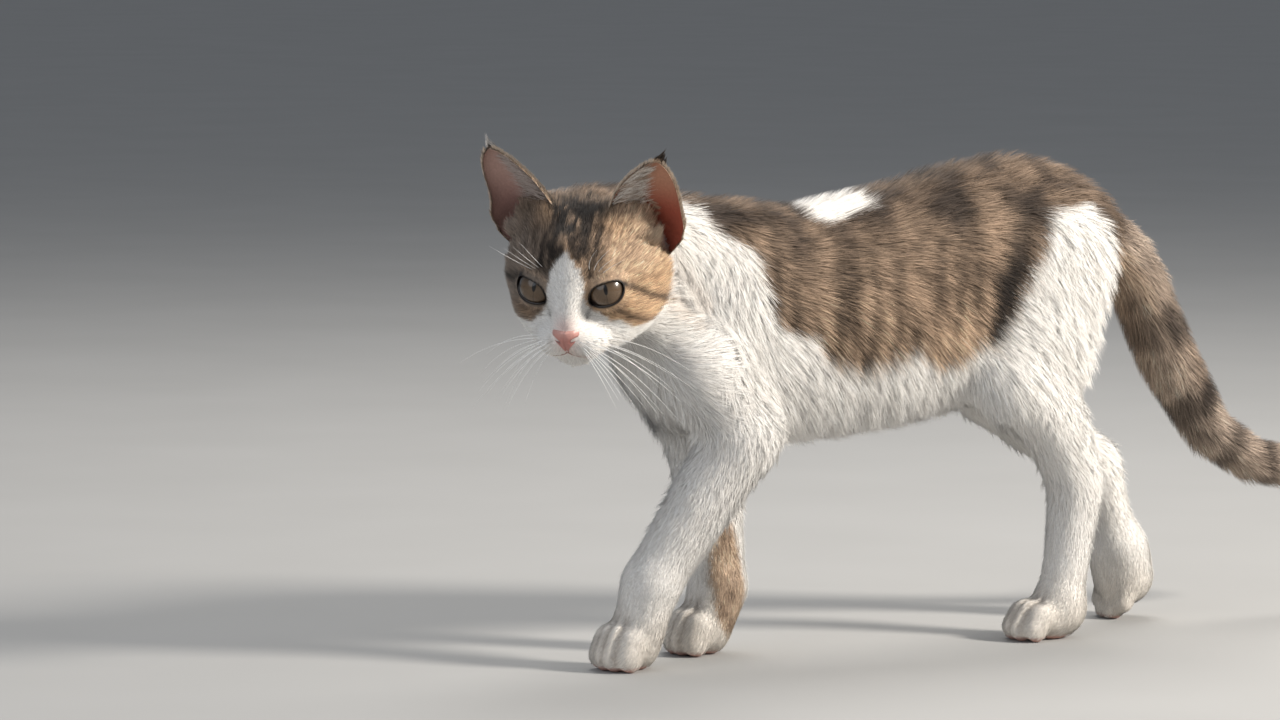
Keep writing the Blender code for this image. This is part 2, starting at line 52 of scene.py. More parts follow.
# The camera stands low and ahead of the cat's left shoulder, three metres off, with a long lens,
# as in the photograph.
CAMERA_AIM, CAMERA_AWAY = Vector((-0.01001, -0.18473, 0.152)), 3.0
BACK = Vector((math.sin(math.radians(60)) * math.cos(math.radians(5)),
               -math.cos(math.radians(60)) * math.cos(math.radians(5)),
               math.sin(math.radians(5))))
camera_data = bpy.data.cameras.new("camera")
camera_data.lens = 168.75
camera_data.sensor_width = 36
camera_data.clip_end = 50
camera = bpy.data.objects.new("camera", camera_data)
bpy.context.scene.collection.objects.link(camera)
camera.location = CAMERA_AIM + CAMERA_AWAY * BACK
camera.rotation_euler = BACK.to_track_quat("Z", "Y").to_euler()
bpy.context.scene.camera = camera


# The skin of the whole cat is one closed surface. It is laid over the flesh solids, drawn together
# across their parting cuts, and then let in by the depth of the coat that stands on it.
FLESH = [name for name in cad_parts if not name.startswith("eye")]
SKIN_VOXEL = 1.75
COAT_DEPTH = {
    "torso": 3.2, "neck": 2.8, "head": 1.2, "foreleg": 1.6, "forepaw": 0.9, "hindleg": 1.9,
    "hindpaw": 0.9, "tail_root": 3.6, "tail_middle": 3.3, "tail_tip": 3.0, "ear": 0.3,
}
HEAD_PLACE = (
    Matrix.Translation(Vector((10.09, -227.73, 203.3)) * MM)
    @ Matrix.Rotation(math.radians(42.6), 4, "Z")
    @ Matrix.Rotation(math.radians(27), 4, "X")
    @ Matrix.Rotation(math.radians(1.8), 4, "Y")
)
HEAD_TURN = np.array(HEAD_PLACE.to_3x3())
HEAD_MIDDLE = np.array(HEAD_PLACE.translation) / MM


def in_head(points):
    """Places in millimetres, seen from the head: x to its left, y backwards, z up."""
    return (points - HEAD_MIDDLE) @ HEAD_TURN


def from_head(points):
    return np.asarray(points, float) @ HEAD_TURN.T + HEAD_MIDDLE


def unit(rows):
    return rows / np.maximum(np.linalg.norm(rows, axis=-1, keepdims=True), 1e-9)


def step(value, low, high):
    """0 below low, 1 above high, smooth between."""
    t = np.clip((value - low) / (high - low), 0, 1)
    return t * t * (3 - 2 * t)


def places(mesh):
    out = np.empty(len(mesh.vertices) * 3)
    mesh.vertices.foreach_get("co", out)
    return out.reshape(-1, 3) / MM


def normals_of(mesh):
    out = np.empty(len(mesh.vertices) * 3)
    mesh.vertices.foreach_get("normal", out)
    return out.reshape(-1, 3)


def edges_of(mesh):
    out = np.empty(len(mesh.edges) * 2, int)
    mesh.edges.foreach_get("vertices", out)
    return out.reshape(-1, 2)


def tree_of(points):
    """Holds the points so that the one nearest to any place is found at once."""
    tree = KDTree(len(points))
    for k, place in enumerate(points):
        tree.insert(place, k)
    tree.balance()
    return tree


def apply_all(made):
    bpy.ops.object.select_all(action="DESELECT")
    bpy.context.view_layer.objects.active = made
    made.select_set(True)
    for modifier in list(made.modifiers):
        bpy.ops.object.modifier_apply(modifier=modifier.name)
    made.select_set(False)


def new_object(name, mesh):
    if isinstance(mesh, bmesh.types.BMesh):
        data = bpy.data.meshes.new(name)
        mesh.to_mesh(data)
        mesh.free()
        mesh = data
    made = bpy.data.objects.new(name, mesh)
    bpy.context.scene.collection.objects.link(made)
    return made


together = bmesh.new()
marks = []
for name in FLESH:
    part = bmesh.new()
    part.from_mesh(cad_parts[name].data)
    bmesh.ops.remove_doubles(part, verts=part.verts[:], dist=1e-6)
    part.normal_update()
    marks += [(v.co / MM, name) for v in part.verts]
    if not name.startswith("ear"):
        grown = bpy.data.meshes.new("grown")
        for v in part.verts:
            v.co += v.normal * 0.25 * MM
        part.to_mesh(grown)
        together.from_mesh(grown)
        bpy.data.meshes.remove(grown)
    part.free()
skin = new_object("skin", together)
remesh = skin.modifiers.new("remesh", "REMESH")
remesh.mode = "VOXEL"
remesh.voxel_size = SKIN_VOXEL * MM
smooth = skin.modifiers.new("smooth", "SMOOTH")
smooth.factor = 0.5
smooth.iterations = 2
apply_all(skin)

nearest = tree_of([place for place, _ in marks])


def node_of(points):
    """The name of the solid that each point lies on."""
    return np.array([marks[nearest.find(p)[1]][1] for p in points])


def coat_depth(points, nodes):
    depth = np.array([next(d for start, d in COAT_DEPTH.items() if n.startswith(start)) for n in nodes])
    h = in_head(points)
    on_head = nodes == "head"
    depth = np.where(on_head, 0.8 + 1.1 * step(h[:, 1], -18, 14) + 0.9 * step(h[:, 1], 16, 34), depth)
    depth = np.where(on_head & (h[:, 1] < -5) & (h[:, 2] > 20), 1.5, depth)
    return np.where(points[:, 2] < 2.0, 0.2, depth)


# The clefts between the toes: ball of the foot, tip of the middle toes, and the knuckles' height.
TOES = (((10, -199.7, 12.3), (13, -215.2, 7), 24.5), ((-22, -139.7, 12.3), (-22, -155.2, 7), 24.5),
        ((18, 42.3, 11), (18, 23.8, 6.4), 21.5))


def cleft(points):
    """How deep each place lies in a cleft between two toes, from 0 to 1."""
    deep = np.zeros(len(points))
    for ball, tip, high in TOES:
        ball, ahead = np.array(ball), np.array(tip, float) - ball
        ahead[2] = 0
        across = unit(np.cross(ahead, (0, 0, 1)))
        for k in (-1, 0, 1):
            line = [ball + across * k * 5.2 + ahead * 0.42, ball + across * k * 6.6 + ahead * 0.85,
                    ball + across * k * 7.2 + ahead * 1.20, ball + across * k * 7.2 + ahead * 1.42]
            for place, z in zip(line, (high - 1, high - 3, high * 0.55, 1.0)):
                place[2] = z
            for a, b in zip(line[:-1], line[1:]):
                t = np.clip((points - a) @ (b - a) / ((b - a) @ (b - a)), 0, 1)
                away = points - a - t[:, None] * (b - a)
                d = np.hypot(away @ across, 0.28 * np.linalg.norm(away, axis=1))
                deep = np.maximum(deep, np.exp(-((d / 1.25) ** 2)))
    return deep


def spread(values, edges, rounds):
    """Evens out a value over the neighbours of each vertex."""
    count = np.bincount(edges.ravel(), minlength=len(values)).astype(float)
    for _ in range(rounds):
        total = np.bincount(edges[:, 0], values[edges[:, 1]], len(values))
        total += np.bincount(edges[:, 1], values[edges[:, 0]], len(values))
        values = 0.5 * values + 0.5 * total / np.maximum(count, 1)
    return values


def even_normals(mesh, edges, rounds):
    normal = normals_of(mesh)
    return unit(np.stack([spread(normal[:, k], edges, rounds) for k in range(3)], 1))


EYE_RADIUS = 10.4
EYES = {}
for side, word in ((1, "left"), (-1, "right")):
    out = math.radians(26)
    gaze = Vector((side * math.sin(out), -math.cos(out), math.tan(math.radians(9))))
    EYES[word] = (
        HEAD_PLACE
        @ Matrix.Translation(Vector((side * 16.8, -21.6, -0.5)) * MM)
        @ gaze.to_track_quat("Z", "Y").to_matrix().to_4x4()
    )


def in_eye(points, word):
    """Places in millimetres, seen from the eye: z along its line of sight."""
    back = np.array(EYES[word].inverted())
    return points @ back[:3, :3].T + back[:3, 3] / MM


co = places(skin.data)
edges = edges_of(skin.data)
depth = coat_depth(co, node_of(co))
for word in EYES:
    away = np.linalg.norm(in_eye(co, word) - (0, 0, 9), axis=1)
    depth = np.where(away < 14, 0.55, depth)
depth = spread(depth, edges, 14)
normal = even_normals(skin.data, edges, 3)
co = co - normal * (depth + 1.3 * cleft(co))[:, None]
co[:, 2] = np.maximum(co[:, 2], 0.15)
skin.data.vertices.foreach_set("co", (co * MM).ravel())
skin.data.update()


# Each ear is a thin cup of skin: a root in the head, a folded outer edge with a small pocket, and
# ridges of gristle inside. It is grown out of the skin of the head.
EARS = {
    "left": (1, (30, 7, 15), (42, 5, 56.5), 18.2, 0.04),
    "right": (-1, (-28.5, 7, 16), (-44, 5, 60), 17.4, 0.24),
}
EAR_DEPTH, EAR_WALL = 13, 1.5


def ear_axis(word):
    """The ear's root, its height, and the way it stands, in the head's frame."""
    root, tip = (np.array(place, float) for place in EARS[word][1:3])
    tall = np.linalg.norm(tip - root)
    return root, tall, (tip - root) / tall


def ear_place(word, s, t, layer):
    """A point of the ear in the head's frame: s from root to tip, t across, layer 0 back, 1 inside."""
    side, _, _, root_half, slim = EARS[word]
    root, tall, up = ear_axis(word)
    across = np.array((side * 0.72, 0.12, -0.68))
    across = unit(across - up * (across @ up))
    face = np.cross(across, up) * side
    if face[1] > 0:
        face = -face
    s, t, layer = (np.atleast_1d(np.asarray(v, float)) for v in (s, t, layer))
    high = np.maximum(s, 0)
    half = root_half * np.maximum(1 - high**2.1, 0) ** 0.72 * (1 + 1.1 * np.minimum(s, 0)) + 0.7
    bowl = np.sqrt(np.maximum(1 - t * t, 0))
    back = EAR_DEPTH * (1 - 0.72 * high) * bowl - 3.0 * high * (1 - high)
    lean = 5.5 * np.sin(math.pi * np.minimum(high, 1)) * (0.35 - t * 0.2)
    drawn = 1 - slim * np.sin(math.pi * np.minimum(high, 1)) * np.maximum(t, 0)
    wall = EAR_WALL * (0.4 + 0.6 * bowl) * (1 - 0.4 * high)
    ridge = 1.5 * np.exp(-(((t + 0.42) / 0.13) ** 2)) + 1.1 * np.exp(-(((t - 0.05) / 0.11) ** 2))
    ridge = ridge * np.exp(-(((s - 0.22) / 0.22) ** 2))
    pocket = np.exp(-(((t - 0.93) / 0.16) ** 2)) * np.exp(-(((s - 0.24) / 0.12) ** 2))
    rise = wall * layer + layer * ridge + pocket * (0.6 + 1.8 * layer)
    p = root + up * (tall * s)[:, None] + across * (half * t * drawn - lean * 0.25 + 1.6 * pocket)[:, None]
    p = p - face * back[:, None] + face * rise[:, None]
    return p, up, across, face


def in_cup(points, normals, word):
    """How far each place of an ear is on the inner side of its wall, from -1 to 1."""
    root, _, up = ear_axis(word)
    h = in_head(points)
    mouth = root + up * (((h - root) @ up)[:, None])
    return ((normals @ HEAD_TURN) * unit(mouth - h)).sum(1)


def near_ear(points, nodes):
    """The solids' names again, with the skin round the foot of an ear counted as head."""
    s, t = (v.ravel() for v in np.meshgrid(np.linspace(-0.25, 1, 60), np.linspace(-1, 1, 60)))
    for word in EARS:
        walls = np.vstack([from_head(ear_place(word, s, t, np.full(len(s), layer))[0])
                           for layer in (0.0, 1.0)])
        tree = tree_of(walls)
        for k in np.flatnonzero(nodes == "ear_" + word):
            if tree.find(points[k])[2] > 1.5:
                nodes[k] = "head"
    return nodes


def make_ear(word):
    rows, columns = 30, 26
    grids = []
    mesh = bmesh.new()
    for layer in (0, 1):
        grid = []
        for r in range(rows + 1):
            s = -0.42 + 1.42 * r / rows
            t = np.sin(np.linspace(-math.pi / 2, math.pi / 2, columns + 1) * 0.999)
            spots = from_head(ear_place(word, np.full(len(t), s), t, np.full(len(t), float(layer)))[0])
            grid.append([mesh.verts.new(Vector(p) * MM) for p in spots])
        grids.append(grid)
    outer, inner = grids
    for r in range(rows):
        for c in range(columns):
            mesh.faces.new((outer[r][c], outer[r][c + 1], outer[r + 1][c + 1], outer[r + 1][c]))
            mesh.faces.new((inner[r][c + 1], inner[r][c], inner[r + 1][c], inner[r + 1][c + 1]))
        mesh.faces.new((outer[r][0], outer[r + 1][0], inner[r + 1][0], inner[r][0]))
        mesh.faces.new((outer[r + 1][columns], outer[r][columns], inner[r][columns], inner[r + 1][columns]))
    for c in range(columns):
        mesh.faces.new((outer[0][c + 1], outer[0][c], inner[0][c], inner[0][c + 1]))
        mesh.faces.new((outer[rows][c], outer[rows][c + 1], inner[rows][c + 1], inner[rows][c]))
    bmesh.ops.triangulate(mesh, faces=mesh.faces[:])
    bmesh.ops.recalc_face_normals(mesh, faces=mesh.faces[:])
    return new_object("ear_" + word, mesh)


def join_shape(made, other, operation):
    """Adds the other closed shape to the piece or takes it away, and uses the other up."""
    join = made.modifiers.new("join", "BOOLEAN")
    join.operation = operation
    join.solver = "MANIFOLD"
    join.object = other
    apply_all(made)
    bpy.data.objects.remove(other)


for word in EARS:
    join_shape(skin, make_ear(word), "UNION")


# The lids meet the eyeball in an almond opening. The skin is cut to that almond and hollowed for
# the ball, and a moist dark rim of lid closes the edge all round.
EYE_OPENING = ((-9.4, -3.6), (-8.6, 1.8), (-5.6, 5.1), (-0.4, 6.5), (4.8, 6.3), (8.0, 3.9),
               (7.8, -0.3), (4.5, -4.0), (-0.9, -5.7), (-6.1, -5.9))


def almond(word, count, spread_by=1.0):
    """The lids' edge in the eye's own frame, as x and y, smooth through the given corners."""
    side = 1 if word == "left" else -1
    loop = np.array(EYE_OPENING, float) * (side, 1)
    n = len(loop)
    place = np.linspace(0, n, count, endpoint=False)
    i = place.astype(int)
    t = (place - i)[:, None]
    p0, p1, p2, p3 = (loop[(i + k) % n] for k in (-1, 0, 1, 2))
    curve = 0.5 * (2 * p1 + (p2 - p0) * t + (2 * p0 - 5 * p1 + 4 * p2 - p3) * t**2
                   + (3 * p1 - p0 - 3 * p2 + p3) * t**3)
    return curve * spread_by


def eye_prism(word):
    mesh = bmesh.new()
    rows = []
    for z, spread_by in ((3.0, 0.94), (EYE_RADIUS + 9, 1.08)):
        rows.append([mesh.verts.new(Vector((x, y, z)) * MM) for x, y in almond(word, 60, spread_by)])
    mesh.faces.new(rows[0])
    mesh.faces.new(reversed(rows[1]))
    for k in range(60):
        n = (k + 1) % 60
        mesh.faces.new((rows[0][k], rows[1][k], rows[1][n], rows[0][n]))
    bmesh.ops.triangulate(mesh, faces=mesh.faces[:])
    bmesh.ops.recalc_face_normals(mesh, faces=mesh.faces[:])
    mesh.transform(EYES[word])
    return new_object("opening_" + word, mesh)


def ball(word, radius, around=48, high=32):
    mesh = bmesh.new()
    bmesh.ops.create_uvsphere(mesh, u_segments=around, v_segments=high, radius=radius * MM)
    mesh.transform(EYES[word])
    return new_object("ball_" + word, mesh)


for word in EYES:
    join_shape(skin, ball(word, EYE_RADIUS + 1.05, 64, 48), "UNION")
    join_shape(skin, eye_prism(word), "DIFFERENCE")
    join_shape(skin, ball(word, EYE_RADIUS + 0.15), "DIFFERENCE")


# Markings of the coat, with painted shade on the head's right side and in the clefts between the toes. White
# runs from the muzzle over throat, chest, belly and legs. Brown tabby covers the crown, the cheeks below the
# ears, the nape, the flanks, the rump and the tail.
def grain(points, size, seed=0.0):
    """Smooth random values from -1 to 1 over lumps of about so many millimetres."""
    cell = points / np.asarray(size, float) + seed * 17.31
    base = np.floor(cell)
    t = cell - base
    t = t * t * (3 - 2 * t)
    total = np.zeros(len(points))
    for corner in product((0, 1), repeat=3):
        c = np.array(corner)
        h = np.sin((base + c) @ np.array((127.1, 311.7, 74.7))) * 43758.5453
        total += np.prod(np.where(c == 1, t, 1 - t), axis=1) * (h - np.floor(h))
    return total * 2 - 1


def reach_in(x, y, loop):
    """How far each point lies inside a closed outline; below 0 is outside."""
    loop = np.array(loop, float)
    nearest_edge = np.full(len(x), 1e9)
    crossings = np.zeros(len(x), int)
    for (ax, ay), (bx, by) in zip(loop, np.roll(loop, -1, axis=0)):
        dx, dy = bx - ax, by - ay
        t = np.clip(((x - ax) * dx + (y - ay) * dy) / (dx * dx + dy * dy + 1e-9), 0, 1)
        nearest_edge = np.minimum(nearest_edge, np.hypot(x - ax - t * dx, y - ay - t * dy))
        if ay != by:
            crosses = ((ay > y) != (by > y)) & (x < (bx - ax) * (y - ay) / (by - ay) + ax)
            crossings += crosses
    return np.where(crossings % 2 == 1, nearest_edge, -nearest_edge)


def off_line(points, line):
    """Distance to a line of points, and how far along it, from 0 to 1."""
    line = np.array(line, float)
    best, share = np.full(len(points), 1e9), np.zeros(len(points))
    count = len(line) - 1
    for k, (a, b) in enumerate(zip(line[:-1], line[1:])):
        way = b - a
        t = np.clip((points - a) @ way / (way @ way), 0, 1)
        d = np.linalg.norm(points - a - t[:, None] * way, axis=1)
        closer = d < best
        best = np.where(closer, d, best)
        share = np.where(closer, (k + t) / count, share)
    return best, share


FLANK_LEFT = (
    (-232, 236), (-205, 233), (-185, 233), (-161, 228), (-155, 218), (-149, 212), (-142, 206),
    (-136, 200), (-130, 190), (-129, 178), (-127, 166), (-115, 163), (-103, 160), (-99, 149),
    (-85, 143), (-62, 143), (-41, 151), (-26, 142), (-8, 147), (-1, 153), (6, 152), (12, 161),
    (18, 173), (26, 187), (36, 206), (42, 219), (55, 222), (68, 220), (76, 215), (84, 196),
    (92, 170), (130, 170), (130, 290), (-232, 290),
)
FLANK_RIGHT = (
    (-232, 236), (-205, 233), (-185, 230), (-166, 222), (-150, 210), (-140, 196), (-128, 180),
    (-118, 160), (-100, 150), (-80, 146), (-55, 150), (-30, 144), (0, 148), (16, 150),
    (28, 148), (46, 136), (66, 124), (86, 106), (106, 106), (112, 135), (112, 170), (130, 170), (130, 290),
    (-232, 290),
)
BACK_PATCH = ((-97, 232), (-90, 217), (-83, 216), (-76, 220), (-66, 223), (-54, 226), (-54, 240), (-97, 240))
BLAZE = (
    (1, 23), (5.3, 19), (7.9, 13.8), (8.9, 6.9), (9.6, -2.1), (10.9, -6.2), (15.5, -9.5), (20.3, -13.5),
    (26, -18.5), (30.9, -22), (36, -26), (60, -28), (60, -70), (-60, -70), (-60, -24), (-36, -23),
    (-28, -20), (-22.2, -18.9), (-15.4, -11.5), (-9.8, -2.2), (-9.1, 5.9), (-6.8, 13.3), (-3.7, 18.8),
)
CROWN = ((-17, 6), (-13, 15), (-2, 14), (8, 14), (17, 10), (20, 0), (15, -12), (9, -18), (1.4, -19),
         (-7, -15), (-12, -8))
TAIL_LINE = (
    (-10, 66.4, 214), (-10, 85.4, 209), (-10, 101.4, 198), (-10, 114.4, 182), (-10, 135.4, 142),
    (-10, 161.4, 102), (-10, 186.4, 85), (-10, 206.4, 79), (-10, 229.4, 77), (-10, 251.4, 81),
    (-10, 268.4, 89),
)
WHITE = np.array((0.88, 0.845, 0.80))
SAND = np.array((0.47, 0.335, 0.232))
BROWN = np.array((0.120, 0.080, 0.054))
DARK = np.array((0.028, 0.021, 0.017))
ORANGE = np.array((0.56, 0.370, 0.228))
GREY = np.array((0.215, 0.168, 0.132))


def mix(a, b, share):
    share = np.asarray(share)[:, None]
    return a * (1 - share) + b * share


def round_head(h):
    """Places on the head laid flat: how far round from the nose, and how high."""
    return np.stack([35 * np.arctan2(h[:, 0], -h[:, 1]), h[:, 2]], axis=1)


def markings_and_shade(points, nodes):
    """The colour of the coat at each place, and how far it is tabby there, from 0 to 1."""
    x, y, z = points.T
    warp = 2.2 * grain(points, 14, 1) + 1.6 * grain(points, 5, 2)
    mottle = grain(points, (9, 9, 16), 3)
    fine = grain(points, (2.6, 3.4, 8), 4)

    # trunk and neck
    left = reach_in(y + warp, z + 1.3 * warp, FLANK_LEFT)
    right = reach_in(y + warp, z + 1.3 * warp, FLANK_RIGHT)
    side = step(x, -14, -6)
    flank = left * side + right * (1 - side)
    patch = reach_in(y + warp, z + 0.9 * warp, BACK_PATCH) - 0.35 * np.maximum(np.abs(x + 9) - 15, 0)
    soft = 1.5 + 3.0 * step(-z, -172, -150)
    tabby = step(flank, -soft, soft) * (1 - step(patch, -1.5, 1.5))
    height = np.clip((z - 150) / 74, 0, 1) ** 0.85
    coat = mix(SAND * 1.32, BROWN * (0.92, 0.95, 1.0), np.clip(0.02 + 0.84 * height + 0.34 * mottle, 0, 1))
    stripes = np.zeros(len(x))
    for middle in (-127, -116, -105, -92, -82, -70, -57, -46, -33, -20, -10):
        bend = 3.0 * grain(points, 20, 5 + middle) - 0.10 * (z - 165)
        stripes = np.maximum(stripes, np.exp(-(((y - middle + bend) / 3.3) ** 2)))
    stripes = stripes * (1 - 0.45 * step(z, 185, 220)) * np.clip(0.9 + 0.9 * grain(points, (12, 12, 20), 55),
                                                                 0.35, 1)
    coat = mix(coat, BROWN * 0.28, np.clip(1.15 * stripes, 0, 1))
    for line, wide, deep, tone in (
        (((29, -66, 228), (33, -44, 218), (37, -32, 205), (39, -23, 197)), 4.0, 0.60, DARK * 2.2),
        (((29, -60, 221), (34, -47, 211), (39, -36, 199)), 2.6, 0.45, SAND * 1.1),
        (((20, -92, 226), (27, -80, 214), (32, -74, 204)), 4.5, 0.55, DARK * 2.2),
        (((10, -20, 233), (22, 0, 232), (30, 14, 222)), 5.0, 0.32, DARK * 2.0),
        (((34, -100, 205), (36, -84, 199)), 3.6, 0.50, DARK * 2.4),
    ):
        d, _ = off_line(points * (0.5, 1, 1), np.array(line) * (0.5, 1, 1))
        coat = mix(coat, tone, deep * np.exp(-((d / (wide * (1 + 0.3 * mottle))) ** 2)) * side)
    thigh_line, up_thigh = off_line(points * (0.35, 1, 1), [(a * 0.35, b, c) for a, b, c in (
        (29, 5, 158), (30, 8, 171), (30, 11, 184), (29, 18, 198), (25, 25, 212), (18, 32, 224))])
    width = np.interp(up_thigh, (0, 0.25, 0.55, 1), (6.5, 9.5, 9.5, 7.5)) * (1 + 0.25 * mottle)
    black = np.exp(-((thigh_line / width) ** 4)) * np.interp(up_thigh, (0, 0.45, 0.75, 1),
                                                             (0.9, 0.95, 0.60, 0.25))
    coat = mix(coat, DARK * 0.8, np.clip(1.15 * black, 0, 1) * side)
    coat = mix(coat, DARK * 1.8, 0.72 * step(z, 196, 226) * step(mottle + 0.5 * fine, -0.15, 0.5))
    coat = coat * (np.clip(1 + 0.42 * fine, 0.35, 1.7) * (1 - 0.22 * step(z, 196, 226)))[:, None]

    # tail: grey tan above, paler below, with dark rings and a black tip
    on_tail = np.char.startswith(nodes.astype(str), "tail")
    _, along = off_line(points, TAIL_LINE)
    below = step(-(z - np.interp(y, [p[1] for p in TAIL_LINE], [p[2] for p in TAIL_LINE])), -2, 8)
    ring = 0.5 + 0.5 * np.cos(2 * math.pi * (along * 10.2 + 0.07 * warp + 0.30))
    ring = step(ring, 0.45, 0.85) * step(along, 0.16, 0.42) * (0.85 + 0.3 * mottle)
    tail = mix(np.array((0.300, 0.240, 0.195)), np.array((0.440, 0.345, 0.270)), 0.35 + 0.4 * below)
    tail = mix(tail, ORANGE * 0.9, 0.5 * below * step(-along, -0.45, -0.15))
    tail = mix(tail, BROWN, np.clip(0.22 + 0.45 * mottle, 0, 1) * (1 - 0.8 * below))
    blot = step(grain(points, (9, 8, 8), 31) + 0.3 * fine, 0.05, 0.45) * step(along, 0.10, 0.3)
    tail = mix(tail, DARK * 1.3, 0.55 * blot)
    tail = mix(tail, DARK * 1.1, np.clip(ring, 0, 1) * (1 - 0.25 * below))
    tail = mix(tail, DARK * 0.8, step(along, 0.90, 0.95))
    tail = tail * 1.36 * (1 + 0.22 * fine)[:, None]
    coat = np.where(on_tail[:, None], tail, coat)
    tabby = np.where(on_tail, 1.0, tabby)

    # legs are white, but for a ticked tan patch behind the far forearm
    on_leg = np.array([n.startswith(("foreleg", "forepaw", "hindpaw")) for n in nodes])
    tabby = np.where(on_leg, 0.0, tabby)
    patch = reach_in(y + 0.6 * warp, z, ((-128, 66), (-124, 50), (-123, 30), (-122, 12), (-133, 8),
                                         (-140, 20), (-141, 40), (-136, 62)))
    forearm = np.isin(nodes, ("foreleg_right", "forepaw_right")) * step(patch, -3, 1.5) * step(x, -32, -24)
    coat = mix(coat, mix(SAND * (1.45, 1.5, 1.55), BROWN * 1.5, np.clip(0.20 + 0.9 * fine, 0, 1)),
               0.88 * forearm)
    tabby = np.maximum(tabby, forearm)

    # painted shade: the white is painted brown-grey along the clefts between the toes
    white_here = mix(WHITE, WHITE * (0.45, 0.40, 0.36), 0.85 * cleft(points))
    white_here = white_here * (1 - np.array((0.05, 0.09, 0.14)) * step(-z, -42, -8)[:, None])

    # head
    h = in_head(points)
    hx, hy, hz = h.T
    hwarp = 0.9 * grain(h, 5, 7) + 0.6 * grain(h, 2.2, 8)
    streak = grain(h * (1, 0.18, 0.18), 2.2, 9)
    white = step(reach_in(hx + hwarp, hz + hwarp, BLAZE), -0.7, 0.9)
    white = white * (1 - step(hy, 10, 16))
    behind = step(hy + hwarp, 9, 14)
    side_white = 1 - step(hz + hwarp - 0.35 * (hy - 12), 8, 13)
    white = np.maximum(white * (1 - behind), behind * side_white)
    # painted shade: the head's right side, turned from the key lamp, is painted grey-brown where the left
    # side is orange
    face = mix(ORANGE, GREY * 1.15, step(-hx, -4, 8))
    face = mix(face, SAND * 1.25, 0.75 * step(hz, -2, 12) * step(hx, 4, 12))
    face = mix(face, BROWN * 1.2, step(hz + 4 * streak - 0.25 * np.abs(hx), 8, 24)
               * (0.72 - 0.58 * step(hx, 12, 20)))
    face = face * (1 + 0.30 * streak + 0.20 * grain(h, 1.6, 11))[:, None]
    tick = grain(h * (1, 0.32, 0.32), 1.25, 41)
    patchy = grain(h, 4.5, 33)
    forehead = step(hz + 3 * streak + 2 * patchy, 8, 20) * np.exp(-((hx / 13) ** 4)) * step(-hy, -6, 2)
    face = mix(face, SAND * 0.85, 0.5 * forehead)
    face = mix(face, DARK * 1.6, 0.92 * forehead * step(tick + 0.8 * patchy, -0.40, 0.10))
    inside_ear = np.exp(-((np.linalg.norm((h - (-13, 2, 28)) / (7, 9, 6), axis=1)) ** 2))
    face = mix(face, ORANGE * 1.05, 0.8 * inside_ear)
    crown = reach_in(hx + hwarp, hy + hwarp, CROWN)
    crown = step(crown + 2.5 * streak + 2.5 * patchy, -3.0, 3.0) * step(hz + 3 * patchy, 16, 26)
    face = mix(face, DARK * 0.8, 0.97 * crown * step(tick + 0.35 * patchy, -0.85, -0.25))
    before_ear = np.exp(-((np.linalg.norm((h - (20, -4, 25.5)) / (6.5, 8, 6), axis=1)) ** 2))
    face = mix(face, ORANGE * 1.15, 0.75 * before_ear)
    face = mix(face, SAND * 0.9, 0.45 * step(hy + 2 * hwarp, 2, 9) * step(hz, 18, 24)
               * step(tick, -0.2, 0.4))
    brow = step(np.abs(hx + 0.8 * hwarp), 3,
                6) * step(-np.abs(hx), -22, -15) * step(hz, 8, 13) * step(-hy, 0, 12)
    face = mix(face, DARK * 1.3, 0.85 * brow * step(streak + 0.25 * step(hz, 12, 22), 0.05, 0.4))
    for line, wide, deep, tone in (
        (((27, -23, 3.8), (31, -16, -2.2), (35, -11, -8.2), (36, 1.4, -17.6), (37, 9.4, -22)), 1.7, 1.0,
         DARK),
        (((24, -27, -9), (28.5, -23, -15), (32, -15, -20.5), (33, 1.2, -29.5)), 1.5, 0.8, BROWN * 0.6),
        (((-25, -25, 7), (-29, -19, 3.5), (-32, -14, -1), (-36, -6, -4)), 1.9, 1.0, DARK),
        (((-27, -21, -9), (-32, -15, -13), (-35, -5, -18)), 1.2, 0.5, BROWN),
        (((-10, -21, 23.3), (-6, -26, 21.5), (-3.5, -29.5, 18.8)), 1.5, 0.9, DARK),
        (((-13, -24, 20), (-12.5, -26.3, 17.3), (-10.7, -29, 11.8)), 1.5, 0.9, DARK),
        (((9.7, -21, 23.3), (11.6, -26, 18.4), (12.3, -28.7, 9.9)), 1.5, 0.85, DARK),
        (((17, -17, 21.3), (16.2, -25.5, 16.3)), 1.4, 0.4, BROWN),
    ):
        d, _ = off_line(round_head(h), round_head(np.array(line, float)))
        face = mix(face, tone, deep * np.exp(-((d / wide) ** 2)))
    under = np.exp(-((np.linalg.norm((h - (-24, -25, -12)) / (7, 8, 4.5), axis=1)) ** 2))
    face = mix(face, mix(ORANGE * 0.75, BROWN, np.clip(0.4 + 0.4 * streak, 0, 1)), 0.85 * under)
    head = mix(face, WHITE, white)
    for word, turn in (("left", 1), ("right", -1)):
        e = in_eye(points, word)
        loop = reach_in(e[:, 0], e[:, 1], almond(word, 40))
        front = step(e[:, 2], 0, 3)
        lower = step(-e[:, 1], -2, 5)
        head = mix(head, DARK * 0.75, step(loop, -0.7 - 0.7 * lower, -0.1 - 0.2 * lower) * front)
        pale = np.exp(-(((loop + 3.6) / 1.2) ** 2)) * front * (1 - white)
        head = mix(head, SAND * 1.4, 0.35 * pale)
        tear, _ = off_line(e, ((turn * -9.5, -7, 6), (turn * -11.5, -11, 5)))
        head = mix(head, DARK * 1.2, 0.85 * np.exp(-((tear / 1.3) ** 2)))
    nose, _ = off_line(h, ((0, -43, -12), (0, -45, -20)))
    head = mix(head, np.array((0.66, 0.36, 0.31)), 0.5 * np.exp(-((nose / 6.0) ** 2)) * step(-hy, 32, 38))
    mouth, _ = off_line(h, ((0, -44, -24), (7, -41, -29.4), (14, -31, -27.5)))
